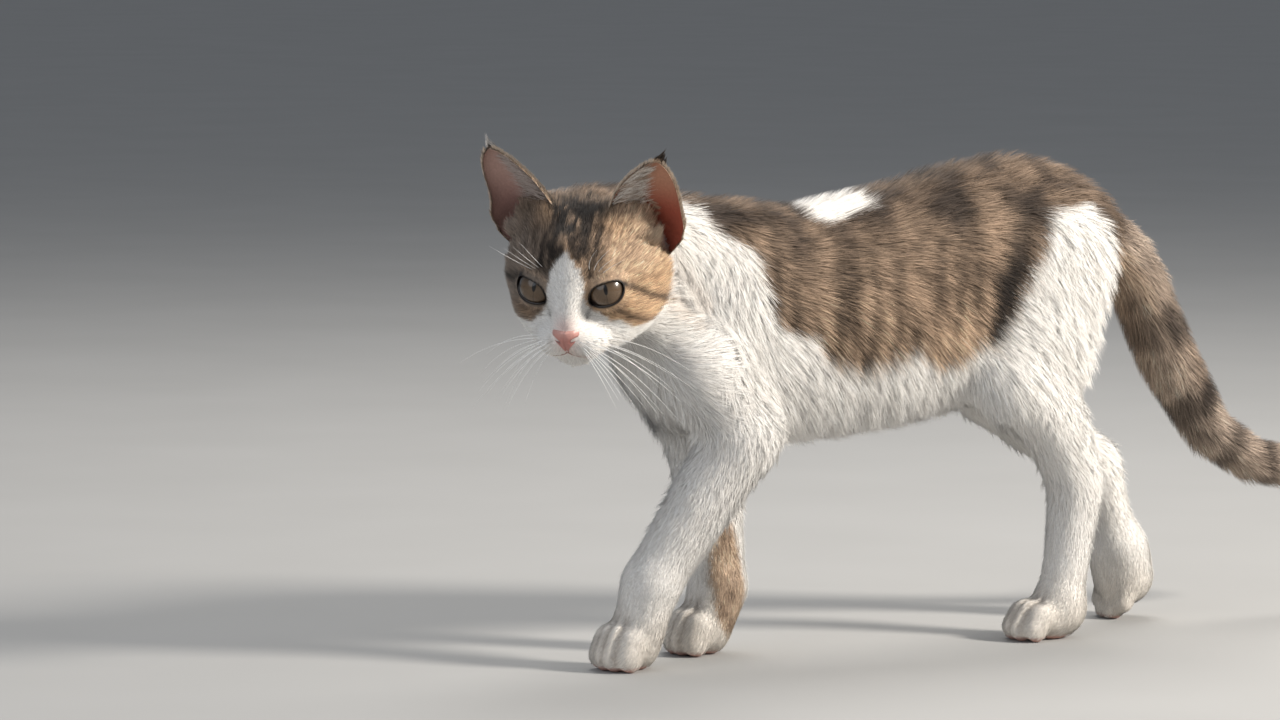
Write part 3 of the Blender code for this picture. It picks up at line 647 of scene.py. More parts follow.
    head = mix(head, np.array((0.60, 0.42, 0.34)), 0.35 * np.exp(-((mouth / 3.0) ** 2)))
    fromhead = step(-hy, -26, -14) * (np.linalg.norm(h, axis=1) < 70)
    fromhead = np.where(np.isin(nodes, ("head", "neck")), fromhead, 0.0)
    coat = mix(coat, head, fromhead)
    tabby = tabby * (1 - fromhead) + (1 - white) * fromhead

    # backs of the ears: grizzled tan with a dark edge
    on_ear = np.char.startswith(nodes.astype(str), "ear")
    ear = mix(GREY * 1.2, ORANGE, np.clip(0.45 + 0.3 * grain(h, 6, 12), 0, 1))
    ear = mix(ear, DARK * 1.5, 0.45 * step(hz, 46, 58))
    coat = np.where(on_ear[:, None], ear, coat)
    tabby = np.where(on_ear, 1.0, tabby)
    whole = mix(white_here, coat, tabby)
    inner = np.isin(nodes, ("head", "neck"))
    whole = np.where(inner[:, None], mix(mix(WHITE, coat, tabby), coat, fromhead), whole)
    return np.clip(whole, 0.01, 0.95), tabby


def paint(mesh, colours, layer="Coat"):
    """Stores one colour a vertex on the mesh."""
    attribute = mesh.color_attributes.new(layer, "FLOAT_COLOR", "POINT")
    rgba = np.ones((len(colours), 4))
    rgba[:, :3] = colours
    attribute.data.foreach_set("color", rgba.ravel())


def new_material(name, roughness, specular=0.3):
    material = bpy.data.materials.new(name)
    material.use_nodes = True
    shader = material.node_tree.nodes["Principled BSDF"]
    shader.inputs["Roughness"].default_value = roughness
    shader.inputs["Specular IOR Level"].default_value = specular
    return material, material.node_tree.nodes, material.node_tree.links, shader


def reckon(nodes, links, operation, first, second=None, clamp=False):
    """A sum of two values of a material, or a function of one."""
    node = nodes.new("ShaderNodeMath")
    node.operation = operation
    node.use_clamp = clamp
    for socket, value in zip(node.inputs, (first, second)):
        if isinstance(value, (int, float)):
            socket.default_value = value
        elif value is not None:
            links.new(value, socket)
    return node.outputs[0]


def blend_colour(nodes, links, share, a, b, blend="MIX"):
    node = nodes.new("ShaderNodeMix")
    node.data_type = "RGBA"
    node.blend_type = blend
    for socket, value in ((node.inputs["Factor"], share), (node.inputs["A"], a), (node.inputs["B"], b)):
        if isinstance(value, (int, float)):
            socket.default_value = value
        elif isinstance(value, tuple):
            socket.default_value = (*value, 1)
        else:
            links.new(value, socket)
    return node.outputs["Result"]


def ramp(nodes, links, value, low, high, to_low=0.0, to_high=1.0):
    """Stretches the range from low to high over the range from to_low to to_high."""
    node = nodes.new("ShaderNodeMapRange")
    ends = {"From Min": low, "From Max": high, "To Min": to_low, "To Max": to_high}
    for name, end in ends.items():
        node.inputs[name].default_value = end
    links.new(value, node.inputs["Value"])
    return node.outputs["Result"]


def stored(nodes, name):
    """What the mesh stores under a name."""
    node = nodes.new("ShaderNodeAttribute")
    node.attribute_name = name
    return node


def pattern(nodes, links, kind, scale):
    """A pattern that is fixed to the piece by its own coordinates."""
    node = nodes.new("ShaderNodeTex" + kind)
    node.inputs["Scale"].default_value = scale
    links.new(nodes.new("ShaderNodeTexCoord").outputs["Object"], node.inputs["Vector"])
    return node


def make_bumpy(nodes, links, shader, height, strength, distance):
    bump = nodes.new("ShaderNodeBump")
    bump.inputs["Strength"].default_value = strength
    bump.inputs["Distance"].default_value = distance
    links.new(height, bump.inputs["Height"])
    links.new(bump.outputs["Normal"], shader.inputs["Normal"])


PINK = np.array((0.60, 0.34, 0.28))
co = places(skin.data)
skin_nodes = near_ear(co, node_of(co))
skin_colours, skin_tabby = markings_and_shade(co, skin_nodes)
# painted shade: the skin, seen only through gaps in the coat, is painted darker, most of all under tabby fur
skin_colours = skin_colours * mix(np.array((0.95, 0.95, 0.95)), np.array((0.78, 0.78, 0.78)), skin_tabby)
h = in_head(co)
normal = normals_of(skin.data)
on_ear = np.char.startswith(skin_nodes.astype(str), "ear")
for word in EARS:
    _, up, across, face = ear_place(word, 0.5, 0.0, 1)
    side = EARS[word][0]
    inward = step(in_cup(co, normal, word), -0.25, 0.15)
    mine = on_ear & (side * h[:, 0] > 0)
    # painted light and shade inside the ear cups: the low, deep part of each cup is painted darker as
    # painted shade; the left ear is painted red there as painted light glowing through it from behind, and
    # the right ear is painted greyer and darker overall as painted shade
    low = step(h[:, 2], 48, 22)
    deep = mix(np.array((0.55, 0.27, 0.17)), np.array((0.42, 0.10, 0.06)), low) if side > 0 else mix(
        np.array((0.48, 0.30, 0.25)), np.array((0.36, 0.20, 0.17)), low)
    rim = mix(np.array((0.56, 0.43, 0.33)), deep, inward)
    skin_colours = np.where(mine[:, None], rim, skin_colours)
for word in EYES:
    e = in_eye(co, word)
    loop = reach_in(e[:, 0], e[:, 1], almond(word, 40))
    skin_colours = mix(skin_colours, DARK * 0.5, step(loop, -0.8, -0.1) * step(e[:, 2], 0, 2))
soles = step(-co[:, 2], -3.5, -1.0)
skin_colours = mix(skin_colours, PINK, soles)
paint(skin.data, skin_colours)
material, nodes, links, shader = new_material("skin_and_undercoat", 0.62, 0.25)
fleck = pattern(nodes, links, "Noise", 900)
fleck.inputs["Detail"].default_value = 4
varied = blend_colour(nodes, links, 0.35, stored(nodes, "Coat").outputs["Color"], fleck.outputs["Fac"],
                      "MULTIPLY")
links.new(varied, shader.inputs["Base Color"])
make_bumpy(nodes, links, shader, fleck.outputs["Fac"], 0.5, 0.0004)
skin.data.materials.clear()
skin.data.materials.append(material)
skin.data.polygons.foreach_set("use_smooth", np.ones(len(skin.data.polygons), bool))
skin.data.set_sharp_from_angle(angle=math.radians(50))


def unwrap(made):
    """An unwrap of the piece's own shape, named for the bake."""
    while made.data.uv_layers:
        made.data.uv_layers.remove(made.data.uv_layers[0])
    made.data.uv_layers.new(name="OFBake")
    bpy.ops.object.select_all(action="DESELECT")
    bpy.context.view_layer.objects.active = made
    made.select_set(True)
    bpy.ops.object.mode_set(mode="EDIT")
    bpy.ops.mesh.select_all(action="SELECT")
    bpy.ops.uv.smart_project(angle_limit=math.radians(66), island_margin=0.002)
    bpy.ops.object.mode_set(mode="OBJECT")
    made.select_set(False)


def dress(made, material):
    """Gives a finished piece its smooth shading, its material and its unwrap."""
    made.data.polygons.foreach_set("use_smooth", np.ones(len(made.data.polygons), bool))
    made.data.materials.append(material)
    unwrap(made)


unwrap(skin)
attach(skin, "root")
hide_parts(*FLESH)


# The coat is many thin tufts of hair, rooted in the skin and lying along the body the way a cat's
# hair lies: away from the nose, back along the trunk, down the legs and out along the tail.
# Each row: length of the hair, width of a tuft, tufts on a square millimetre, and the degrees at
# which it leaves the skin and at which its tip lies.
COAT = {
    "torso": (11.0, 0.52, 1.66, 20, 7),
    "neck": (9.5, 0.50, 2.10, 20, 7),
    "head": (4.4, 0.44, 4.00, 22, 9),
    "foreleg": (6.0, 0.52, 1.70, 18, 7),
    "forepaw": (3.2, 0.50, 2.6, 18, 8),
    "hindleg": (6.6, 0.52, 1.55, 18, 7),
    "hindpaw": (3.2, 0.50, 2.6, 18, 8),
    "tail_root": (12.5, 0.60, 1.75, 26, 14),
    "tail_middle": (11.0, 0.60, 1.85, 26, 14),
    "tail_tip": (10.0, 0.58, 2.00, 26, 14),
    "ear": (2.8, 0.46, 3.0, 16, 5),
}
LEGS = {
    "foreleg_left": ((17, -165, 160), (21, -144, 114), (13, -191.6, 42), (10, -197, 12), (10, -216, 4)),
    "foreleg_right": ((-37, -160, 160), (-39, -132, 112), (-24, -130.6, 36), (-22, -137, 12),
                      (-22, -156, 4)),
    "hindleg_left": ((10, 58, 205), (16, 34, 150), (19, 30, 125), (17, 60, 80), (18, 51, 18), (18, 44, 11),
                     (18, 24, 4)),
    "hindleg_right": ((-30, 62, 205), (-37, 50, 150), (-40, 50, 122), (-36, 108, 80), (-34, 120, 36),
                      (-34, 122, 14), (-34, 106, 4)),
}


def along_way(points, line):
    """The way a line runs, as felt at each point."""
    line = np.array(line, float)
    total = np.zeros_like(points)
    for a, b in zip(line[:-1], line[1:]):
        way = b - a
        t = np.clip((points - a) @ way / (way @ way), 0, 1)
        d = np.linalg.norm(points - a - t[:, None] * way, axis=1)
        total += unit(way) / ((d + 3) ** 4)[:, None]
    return unit(total)


def lie_of(points, normals, nodes):
    """Which way the hair lies at each point, along the skin."""
    x, y, z = points.T
    high = np.clip((z - 118) / 100, 0, 1) ** 1.3
    way = unit(mix(np.array((0.0, 0.42, -0.90)), np.array((0.0, 1.0, -0.10)), high))
    thigh = step(y, 5, 40) * (1 - step(z, 205, 234))
    way = unit(mix(way, np.array((0.0, 0.34, -0.94)), thigh))
    chest = step(-y, 118, 150)
    down = unit(mix(np.array((0.0, 0.12, -1.0)), np.array((0.0, 0.9, -0.3)), np.clip((z - 195) / 40, 0, 1)))
    way = unit(mix(way, down, chest))
    for start, line in LEGS.items():
        ends = start.replace("leg", "paw")
        mine = np.isin(nodes, (start, ends))
        if not mine.any():
            continue
        leg = along_way(points, line)
        leg[:, 1] += 0.12
        near = step(-z, -150, -120)
        way = np.where(mine[:, None], unit(mix(way, unit(leg), near)), way)
    on_tail = np.char.startswith(nodes.astype(str), "tail")
    way = np.where(on_tail[:, None], along_way(points, TAIL_LINE), way)
    h = in_head(points)
    from_nose = unit(h - (0, -44, -13)) * (1, 1.0, 1.0)
    from_nose[:, 1] += 0.35
    for word in EYES:
        e = in_eye(points, word)
        off = e * (1, 1, 0)
        off_world = unit(off) @ np.array(EYES[word].to_3x3()).T
        close = np.exp(-((np.maximum(np.linalg.norm(e - (0, 0, 6), axis=1) - 8, 0) / 3.5) ** 2))
        from_nose = unit(mix(from_nose, off_world @ HEAD_TURN, 0.75 * close))
    head = unit(from_nose) @ HEAD_TURN.T
    share = np.where(np.isin(nodes, ("head", "neck")), step(-h[:, 1], -24, -6), 0.0)
    way = unit(mix(way, head, share))
    for word in EARS:
        mine = nodes == "ear_" + word
        if mine.any():
            _, up, across, _ = ear_place(word, 0.5, 0.0, 1)
            way = np.where(mine[:, None], (up + 0.12 * across) @ HEAD_TURN.T, way)
    swirl = grain(points, 16, 21)[:, None] * np.cross(normals, way) * 0.14
    way = way + swirl
    return unit(way - normals * (way * normals).sum(1)[:, None])


dice = np.random.default_rng(11)
coat_material, nodes, links, shader = new_material("coat", 0.72, 0.18)
shader.inputs["Sheen Weight"].default_value = 0.06
shader.inputs["Sheen Roughness"].default_value = 0.5
tone = ramp(nodes, links, pattern(nodes, links, "Noise", 1400).outputs["Fac"], 0, 1, 0.82, 1.15)
varied = blend_colour(nodes, links, 1.0, stored(nodes, "Coat").outputs["Color"], tone, "MULTIPLY")
links.new(varied, shader.inputs["Base Color"])


def settle(points, height):
    """Moves points along the skin's own direction until they stand at the given height over it."""
    spots, outward = np.empty_like(points), np.empty_like(points)
    for k, p in enumerate(points * MM):
        spot, over, _, _ = skin_surface.find_nearest(Vector(p))
        spots[k], outward[k] = spot, over
    high = ((points - spots / MM) * outward).sum(1)
    shift = np.clip(height - high, -6, 6)
    return points + outward * shift[:, None]


def grow(name, root, normal, way, length, width, leave, rest, colour, tips, uv, bent=True,
         end=None, shade=0.9, sink=0.35):
    """One piece of coat: a closed tapering tuft at each root, with its patch of the unwrap."""
    n = len(root)
    side = np.cross(normal, way)
    col = lambda v: np.asarray(v)[:, None]
    leave, rest = np.radians(leave), np.radians(rest)
    first = way * col(np.cos(leave)) + normal * col(np.sin(leave))
    second = way * col(np.cos(rest)) + normal * col(np.sin(rest))
    start = root - normal * sink
    lift = np.cross(first, side) * -1
    flat = 0.42
    ring = [(0.9, -0.35), (-0.9, -0.35), (0.0, 0.7)]
    rows = [start + side * col(a * width * 0.5) + lift * col(b * width * 0.5 * flat * 2) for a, b in ring]
    if bent:
        middle = start + first * col(length * 0.48)
        tip = middle + second * col(length * 0.52)
        rows += [middle + side * col(a * width * 0.40) + lift * col(b * width * 0.40 * flat * 2) for a,
                 b in ring]
        rows.append(tip)
        faces = [(0, 2, 1), (0, 1, 4), (0, 4, 3), (1, 2, 5), (1, 5, 4), (2, 0, 3), (2, 3, 5),
                 (3, 4, 6), (4, 5, 6), (5, 3, 6)]
        heights = np.array([0, 0, 0, 0.48, 0.48, 0.48, 1.0])
        across_uv = np.array([0.0, 1.0, 0.5, 0.1, 0.9, 0.5, 0.5])
    else:
        rows.append(start + unit(first + second) * col(length) if end is None else end)
        faces = [(0, 2, 1), (0, 1, 3), (1, 2, 3), (2, 0, 3)]
        heights = np.array([0, 0, 0, 1.0])
        across_uv = np.array([0.0, 1.0, 0.5, 0.5])
    k = len(rows)
    verts = np.stack(rows, 1).reshape(-1, 3)
    verts[:, 2] = np.maximum(verts[:, 2], 0.25)
    faces = (np.array(faces)[None] + np.arange(n)[:, None, None] * k).reshape(-1, 3)
    mesh = bpy.data.meshes.new(name)
    mesh.vertices.add(len(verts))
    mesh.vertices.foreach_set("co", (verts * MM).ravel())
    mesh.loops.add(len(faces) * 3)
    mesh.loops.foreach_set("vertex_index", faces.ravel())
    mesh.polygons.add(len(faces))
    mesh.polygons.foreach_set("loop_start", np.arange(len(faces)) * 3)
    mesh.polygons.foreach_set("use_smooth", np.ones(len(faces), bool))
    mesh.update(calc_edges=True)
    share = heights[None, :, None]
    shades = colour[:, None] * (1 - share) + tips[:, None] * share
    # painted shade: the root end of every tuft is darkened by the shade factor
    shades = shades * np.where(share < 0.2, np.reshape(shade, (-1, 1, 1)), 1.0)
    paint(mesh, shades.reshape(-1, 3))
    layer = mesh.uv_layers.new(name="OFBake")
    patch = np.stack([np.tile(across_uv, (n, 1)), np.tile(heights, (n, 1))], 2) * 0.003
    patch = np.clip(patch + uv[:, None], 0, 1).reshape(-1, 2)
    layer.data.foreach_set("uv", patch[faces.ravel()].ravel())
    own = np.empty(len(verts) * 3)
    mesh.vertices.foreach_get("normal", own)
    soft = unit(0.32 * own.reshape(-1, 3) + 0.68 * np.repeat(normal, k, axis=0))
    mesh.normals_split_custom_set_from_vertices(soft)
    mesh.materials.append(coat_material)
    made = new_object(name, mesh)
    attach(made, "root")
    return made


def gather(points, share):
    """Picks a share of the points, and gives for each point the nearest one picked and its number."""
    picked = points[dice.random(len(points)) < share]
    near = tree_of(picked)
    number = np.array([near.find(place)[1] for place in points])
    return picked[number], number


def triangles_of(mesh):
    mesh.calc_loop_triangles()
    tri = np.empty(len(mesh.loop_triangles) * 3, int)
    mesh.loop_triangles.foreach_get("vertices", tri)
    return tri.reshape(-1, 3)


skin_surface = BVHTree.FromObject(skin, bpy.context.evaluated_depsgraph_get())
skin_co = places(skin.data)
skin_normal = even_normals(skin.data, edges_of(skin.data), 2)
skin_tri = triangles_of(skin.data)
tri_middle = skin_co[skin_tri].mean(1)
tri_node = near_ear(tri_middle, node_of(tri_middle))
corners = [skin_co[skin_tri[:, k]] for k in range(3)]
tri_cross = np.cross(corners[1] - corners[0], corners[2] - corners[0])
tri_area = np.linalg.norm(tri_cross, axis=1) / 2
tri_way = tri_cross / np.maximum(2 * tri_area, 1e-9)[:, None]
family = np.array([next(s for s in COAT if n.startswith(s)) for n in tri_node])
tri_density = np.array([COAT[f][2] for f in family])

# bare places: soles, the balls of the eyes, the nose leather, and the cups of the ears
bare = (tri_middle[:, 2] < 3.0) & (tri_way[:, 2] < -0.5)
for word in EYES:
    e = in_eye(tri_middle, word)
    bare |= (reach_in(e[:, 0], e[:, 1], almond(word, 40, 1.04)) > -0.5) & (e[:, 2] > 0)
tri_h = in_head(tri_middle)
nose_outline = ((-6.5, -13), (6.5, -13), (7, -17), (2, -23), (-2, -23), (-7, -17))
bare |= reach_in(tri_h[:, 0], tri_h[:, 2], nose_outline) > 0.3
cup = np.zeros(len(tri_middle), bool)
for word in EARS:
    cup |= (tri_node == "ear_" + word) & (in_cup(tri_middle, tri_way, word) > -0.3)
tri_density = np.where(bare | cup, 0, tri_density)
front = (tri_node == "head") & (tri_h[:, 1] < -14)
tri_density = np.where(front & ~bare, tri_density * 1.15, tri_density)

GROUPS = {
    "torso": ("torso",), "neck": ("neck",), "head": ("head",), "ears": ("ear_left", "ear_right"),
    "forelegs": ("foreleg_left", "foreleg_right"), "hindlegs": ("hindleg_left", "hindleg_right"),
    "paws": ("forepaw_left", "forepaw_right", "hindpaw_left", "hindpaw_right"),
    "tail": ("tail_root", "tail_middle", "tail_tip"),
}
TUFTS_IN_PIECE = 46000
LOCKS, STRANDS = 0.022, 0.13
for group, members in GROUPS.items():
    mine = np.flatnonzero(np.isin(tri_node, members) & (tri_density > 0))
    weight = tri_area[mine] * tri_density[mine]
    wanted = weight.sum()
    parts = int(math.ceil(wanted / TUFTS_IN_PIECE))
    order = np.argsort(tri_middle[mine, 1] if group != "paws" else tri_middle[mine, 0])
    mine, weight = mine[order], weight[order]
    bounds = np.searchsorted(np.cumsum(weight), np.linspace(0, wanted, parts + 1))
    bounds[-1] = len(mine)
    for piece in range(parts):
        some = mine[bounds[piece]:bounds[piece + 1]]
        patch_mesh = bpy.data.meshes.new("patch")
        used, corner = np.unique(skin_tri[some], return_inverse=True)
        corner = corner.reshape(-1, 3)
        patch_mesh.from_pydata((skin_co[used] * MM).tolist(), [], corner.tolist())
        patch_made = new_object("patch", patch_mesh)
        unwrap(patch_made)
        flat_uv = np.empty(len(some) * 6)
        patch_mesh.uv_layers["OFBake"].data.foreach_get("uv", flat_uv)
        flat_uv = flat_uv.reshape(-1, 3, 2)
        bpy.data.objects.remove(patch_made)
        w = tri_area[some] * tri_density[some]
        count = int(w.sum())
        total = np.cumsum(w)
        pick = np.searchsorted(total, (np.arange(count) + dice.random(count)) / count * total[-1])
        pick = np.minimum(pick, len(some) - 1)
        a, b = dice.random((2, count))
        flip = a + b > 1
        a, b = np.where(flip, 1 - a, a), np.where(flip, 1 - b, b)
        weights = np.stack([1 - a - b, a, b], 1)[:, :, None]
        root = (skin_co[skin_tri[some[pick]]] * weights).sum(1)
        normal = unit((skin_normal[skin_tri[some[pick]]] * weights).sum(1))
        uv = (flat_uv[pick] * weights).sum(1)
        where = tri_node[some[pick]]
        kind = np.array([COAT[f] for f in family[some[pick]]])
        length, width, leave, rest = kind[:, 0], kind[:, 1], kind[:, 3], kind[:, 4]
        h = in_head(root)
        on_head = where == "head"
        on_ears = np.char.startswith(where.astype(str), "ear")
        grow_head = 0.55 + 0.55 * step(h[:, 1], -40, -8) + 0.45 * step(h[:, 1], 0, 24)
        cheek = step(np.abs(h[:, 0]), 18, 30) * step(-h[:, 2], -6, 12) * on_head
        length = np.where(on_head, length * (grow_head + 0.9 * cheek), length)
        rest = rest + 9 * cheek
        for word in EYES:
            e = in_eye(root, word)
            edge = -reach_in(e[:, 0], e[:, 1], almond(word, 40))
            close = np.where(e[:, 2] > -2, np.exp(-((edge / 3.2) ** 2)), 0)
            length = length * (1 - 0.62 * close * on_head)
            width = width * (1 - 0.3 * close * on_head)
        length = length * (1 - 0.55 * cleft(root))
        under = step(-normal[:, 2], 0.2, 0.85) * (where == "torso")
        length = length * (1 + 0.35 * under)
        rest = rest + 16 * under
        chest = step(-root[:, 1], 150, 185) * np.isin(where, ("neck", "torso"))
        length = length * (1 + 0.2 * chest * step(-root[:, 2], -190, -150))
        taper = np.where(np.isin(where, (*LEGS,)), 0.55 + 0.45 * step(root[:, 2], 30, 95), 1)
        length, width = length * taper, width * (0.4 + 0.6 * taper)
        guard = (dice.random(count) < 0.12) & np.isin(where, ("torso", "neck", *GROUPS["tail"], *LEGS))
        length, width = np.where(guard, length * 1.2, length), np.where(guard, width * 0.65, width)
        leave, rest = np.where(guard, leave + 10, leave), np.where(guard, rest + 8, rest)
        way = lie_of(root, normal, where)
        turn = dice.normal(0, 0.13, count)[:, None]
        way = unit(way * np.cos(turn) + np.cross(normal, way) * np.sin(turn))
        length = length * np.clip(dice.normal(1, 0.16, count), 0.5, 1.6)
        width = width * np.clip(dice.normal(1, 0.2, count), 0.5, 1.6)
        leave = leave * np.clip(dice.normal(1, 0.18, count), 0.4, 1.8)
        rest = rest + dice.normal(0, 4.0, count)
        rise = length * np.sin(np.radians(0.4 * leave + 0.6 * rest))
        tail = np.char.startswith(where.astype(str), "tail")
        room = coat_depth(root, where) * np.where(guard | tail, 1.7, 1.25) + 0.3 + 1.6 * cheek
        rise = np.minimum(rise, room)
        tip = root + way * length[:, None]
        lock, lock_number = gather(root, LOCKS)
        strand, number = gather(root, STRANDS)
        limb = np.isin(where, (*LEGS, *GROUPS["paws"]))
        lower_leg = limb & (root[:, 2] < 110)
        drawn = np.clip(0.10 + 0.62 * under + 0.30 * tail, 0, 0.8) * np.where(on_head | lower_leg, 0.4, 1)
        tip = tip + (lock + way * length[:, None] - tip) * drawn[:, None]
        drawn = np.where(lower_leg, 0.12, 0.38) * (1 - drawn)
        tip = tip + (strand + way * length[:, None] - tip) * drawn[:, None]
        point = np.exp(-((np.linalg.norm(root - lock, axis=1) / 2.0) ** 2))
        hang = dice.uniform(0.1, 1.0, lock_number.max() + 1)[lock_number]
        rise = rise + 7.5 * under * point * hang
        chance = dice.random(number.max() + 1)[number]
        high = dice.uniform(1.4, 2.5, number.max() + 1)[number]
        often = np.where(tail, 0.42, np.where(where == "neck", 0.12, 0.26))
        often = np.where(limb, 0.12 * step(root[:, 2], 40, 110), often)
        often = np.where(on_head, 0.10 + 0.25 * cheek + 0.20 * step(h[:, 1], -6, 10), often)
        wild = (chance < often) & ~on_ears
        wild_room = (coat_depth(root, where) * high + 0.6) * np.clip(dice.normal(1, 0.12, count), 0.6, 1.3)
        rise = np.where(wild, np.maximum(rise, np.minimum(wild_room, length * 0.62)), rise)
        rise = rise + 3.4 * tail * step(-normal[:, 2] - 0.5 * normal[:, 1], -0.2, 0.7) * (0.35 + 0.65 * hang)
        upright = root + way * length[:, None] + normal * rise[:, None]
        tip = np.where(on_ears[:, None], upright, settle(tip, rise))
        jitter = dice.normal(0, 1.0, (count, 3)) * np.where(on_head, 0.4, 1.2)[:, None]
        colour, tabby = markings_and_shade(root + way * (length * 0.35)[:, None] + jitter, where)
        tip_colour, tip_tabby = markings_and_shade(root + way * (length * 0.80)[:, None] + jitter, where)
        # painted shade at the roots of the tufts, stronger under tabby fur than white
        shade = 0.94 - 0.16 * tabby
        strand_light = dice.normal(0, 1, number.max() + 1)[number]
        light = np.clip(dice.normal(1, 0.07, count) + strand_light * (0.025 + 0.14 * tabby), 0.5,
                        1.6)[:, None]
        tick = dice.random(count)
        base, tip_base = colour * light, tip_colour * light
        dark_tip = np.where((tick < 0.24)[:, None], tip_base * 0.5,
                            np.where((tick > 0.80)[:, None], np.clip(tip_base * 1.6, 0, 0.8),
                                     tip_base * 1.08))
        tips = mix(np.clip(tip_base * 1.04, 0, 0.93), dark_tip, tip_tabby)
        # painted shade: the root colour is a little darker than the tip colour, more under tabby fur
        base = mix(base * 0.97, base * 0.9, tabby)
        name = "coat_%s_%d" % (group, piece + 1)
        grow(name, root, normal, way, length, width, leave, rest, base, tips, uv, bent=False,
             end=tip, shade=shade, sink=0.04 if group == "ears" else 0.35)


# The eyes are brown-olive globes with an upright slit, wet and clear in front. Each turns where
# the head looks and sits deep between its lids.
def make_eye(word):
    mesh = bmesh.new()
    bmesh.ops.create_uvsphere(mesh, u_segments=96, v_segments=64, radius=EYE_RADIUS)
    for v in mesh.verts:
        r = math.hypot(v.co.x, v.co.y)
        if v.co.z > 0:
            v.co.z += 0.55 * max(0.0, 1 - (r / 8.0) ** 2)
    data = bpy.data.meshes.new("eye")
    mesh.to_mesh(data)
    mesh.free()
    local = np.empty(len(data.vertices) * 3)
    data.vertices.foreach_get("co", local)
    aim = Vector((-0.12, 0.32, 1) if word == "left" else (0.48, 0.38, 1))
    aim = np.array(Vector((0, 0, 1)).rotation_difference(aim).to_matrix())
    gaze = data.attributes.new("Gaze", "FLOAT_VECTOR", "POINT")
    gaze.data.foreach_set("vector", (local.reshape(-1, 3) @ aim).ravel())
    data.transform(Matrix.Diagonal((MM, MM, MM, 1)))
    data.transform(EYES[word])
    return new_object("eye_globe_" + word, data)


material, nodes, links, shader = new_material("eye_globe", 0.3, 0.2)
shader.inputs["Coat Weight"].default_value = 0.8
shader.inputs["Coat IOR"].default_value = 1.38
shader.inputs["Coat Roughness"].default_value = 0.02
gaze = stored(nodes, "Gaze")
parts = nodes.new("ShaderNodeSeparateXYZ")
links.new(gaze.outputs["Vector"], parts.inputs[0])
gx, gy, gz = parts.outputs
radius = reckon(nodes, links, "SQRT", reckon(nodes, links, "ADD", reckon(nodes, links, "MULTIPLY", gx, gx),
                                             reckon(nodes, links, "MULTIPLY", gy, gy)))
# fine rays round the pupil, a brighter ring inside, and a dark edge
round_gaze = nodes.new("ShaderNodeCombineXYZ")
links.new(reckon(nodes, links, "DIVIDE", gx, radius), round_gaze.inputs[0])
links.new(reckon(nodes, links, "DIVIDE", gy, radius), round_gaze.inputs[1])
links.new(reckon(nodes, links, "MULTIPLY", radius, 0.05), round_gaze.inputs[2])
rays = nodes.new("ShaderNodeTexNoise")
rays.inputs["Scale"].default_value = 22
rays.inputs["Detail"].default_value = 5
links.new(round_gaze.outputs[0], rays.inputs["Vector"])
cloud = nodes.new("ShaderNodeTexNoise")
cloud.inputs["Scale"].default_value = 0.35
links.new(gaze.outputs["Vector"], cloud.inputs["Vector"])
iris = blend_colour(nodes, links, rays.outputs["Fac"], (0.026, 0.015, 0.009), (0.175, 0.112, 0.064))
clouded = reckon(nodes, links, "MULTIPLY", cloud.outputs["Fac"], 0.35)
iris = blend_colour(nodes, links, clouded, iris, (0.090, 0.060, 0.036))
outward = reckon(nodes, links, "MULTIPLY", ramp(nodes, links, radius, 1.6, 5.5), 0.5)
iris = blend_colour(nodes, links, reckon(nodes, links, "SUBTRACT", 0.5, outward), iris,
                    (0.110, 0.076, 0.048))
iris = blend_colour(nodes, links, ramp(nodes, links, radius, 7.1, 8.4), iris, (0.015, 0.010, 0.008))
# the shade of the upper lid, and the slit of the pupil
lid_shade = reckon(nodes, links, "MULTIPLY", ramp(nodes, links, gy, 0.0, 4.6), 0.8)
iris = blend_colour(nodes, links, lid_shade, iris, (0.014, 0.010, 0.008))
SLIT_HALF_HEIGHT, SLIT_EDGE = 2.7, 0.25
up_slit = reckon(nodes, links, "DIVIDE", gy, SLIT_HALF_HEIGHT)
up_slit = reckon(nodes, links, "MULTIPLY", up_slit, up_slit)
slit_half = reckon(nodes, links, "SQRT", reckon(nodes, links, "SUBTRACT", 1.0, up_slit, clamp=True))
inside_slit = reckon(nodes, links, "SUBTRACT", slit_half, reckon(nodes, links, "ABSOLUTE", gx))
slit = ramp(nodes, links, inside_slit, -SLIT_EDGE, SLIT_EDGE)
iris = blend_colour(nodes, links, slit, iris, (0.004, 0.003, 0.003))
links.new(iris, shader.inputs["Base Color"])
for word in EYES:
    eye = make_eye(word)
    dress(eye, material)
    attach(eye, "root")
    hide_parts("eye_" + word)

material, nodes, links, shader = new_material("lid_rim", 0.28, 0.5)
wet = pattern(nodes, links, "Noise", 700).outputs["Fac"]
links.new(blend_colour(nodes, links, wet, (0.008, 0.006, 0.005), (0.034, 0.022, 0.018)),
          shader.inputs["Base Color"])
make_bumpy(nodes, links, shader, wet, 0.3, 0.0002)


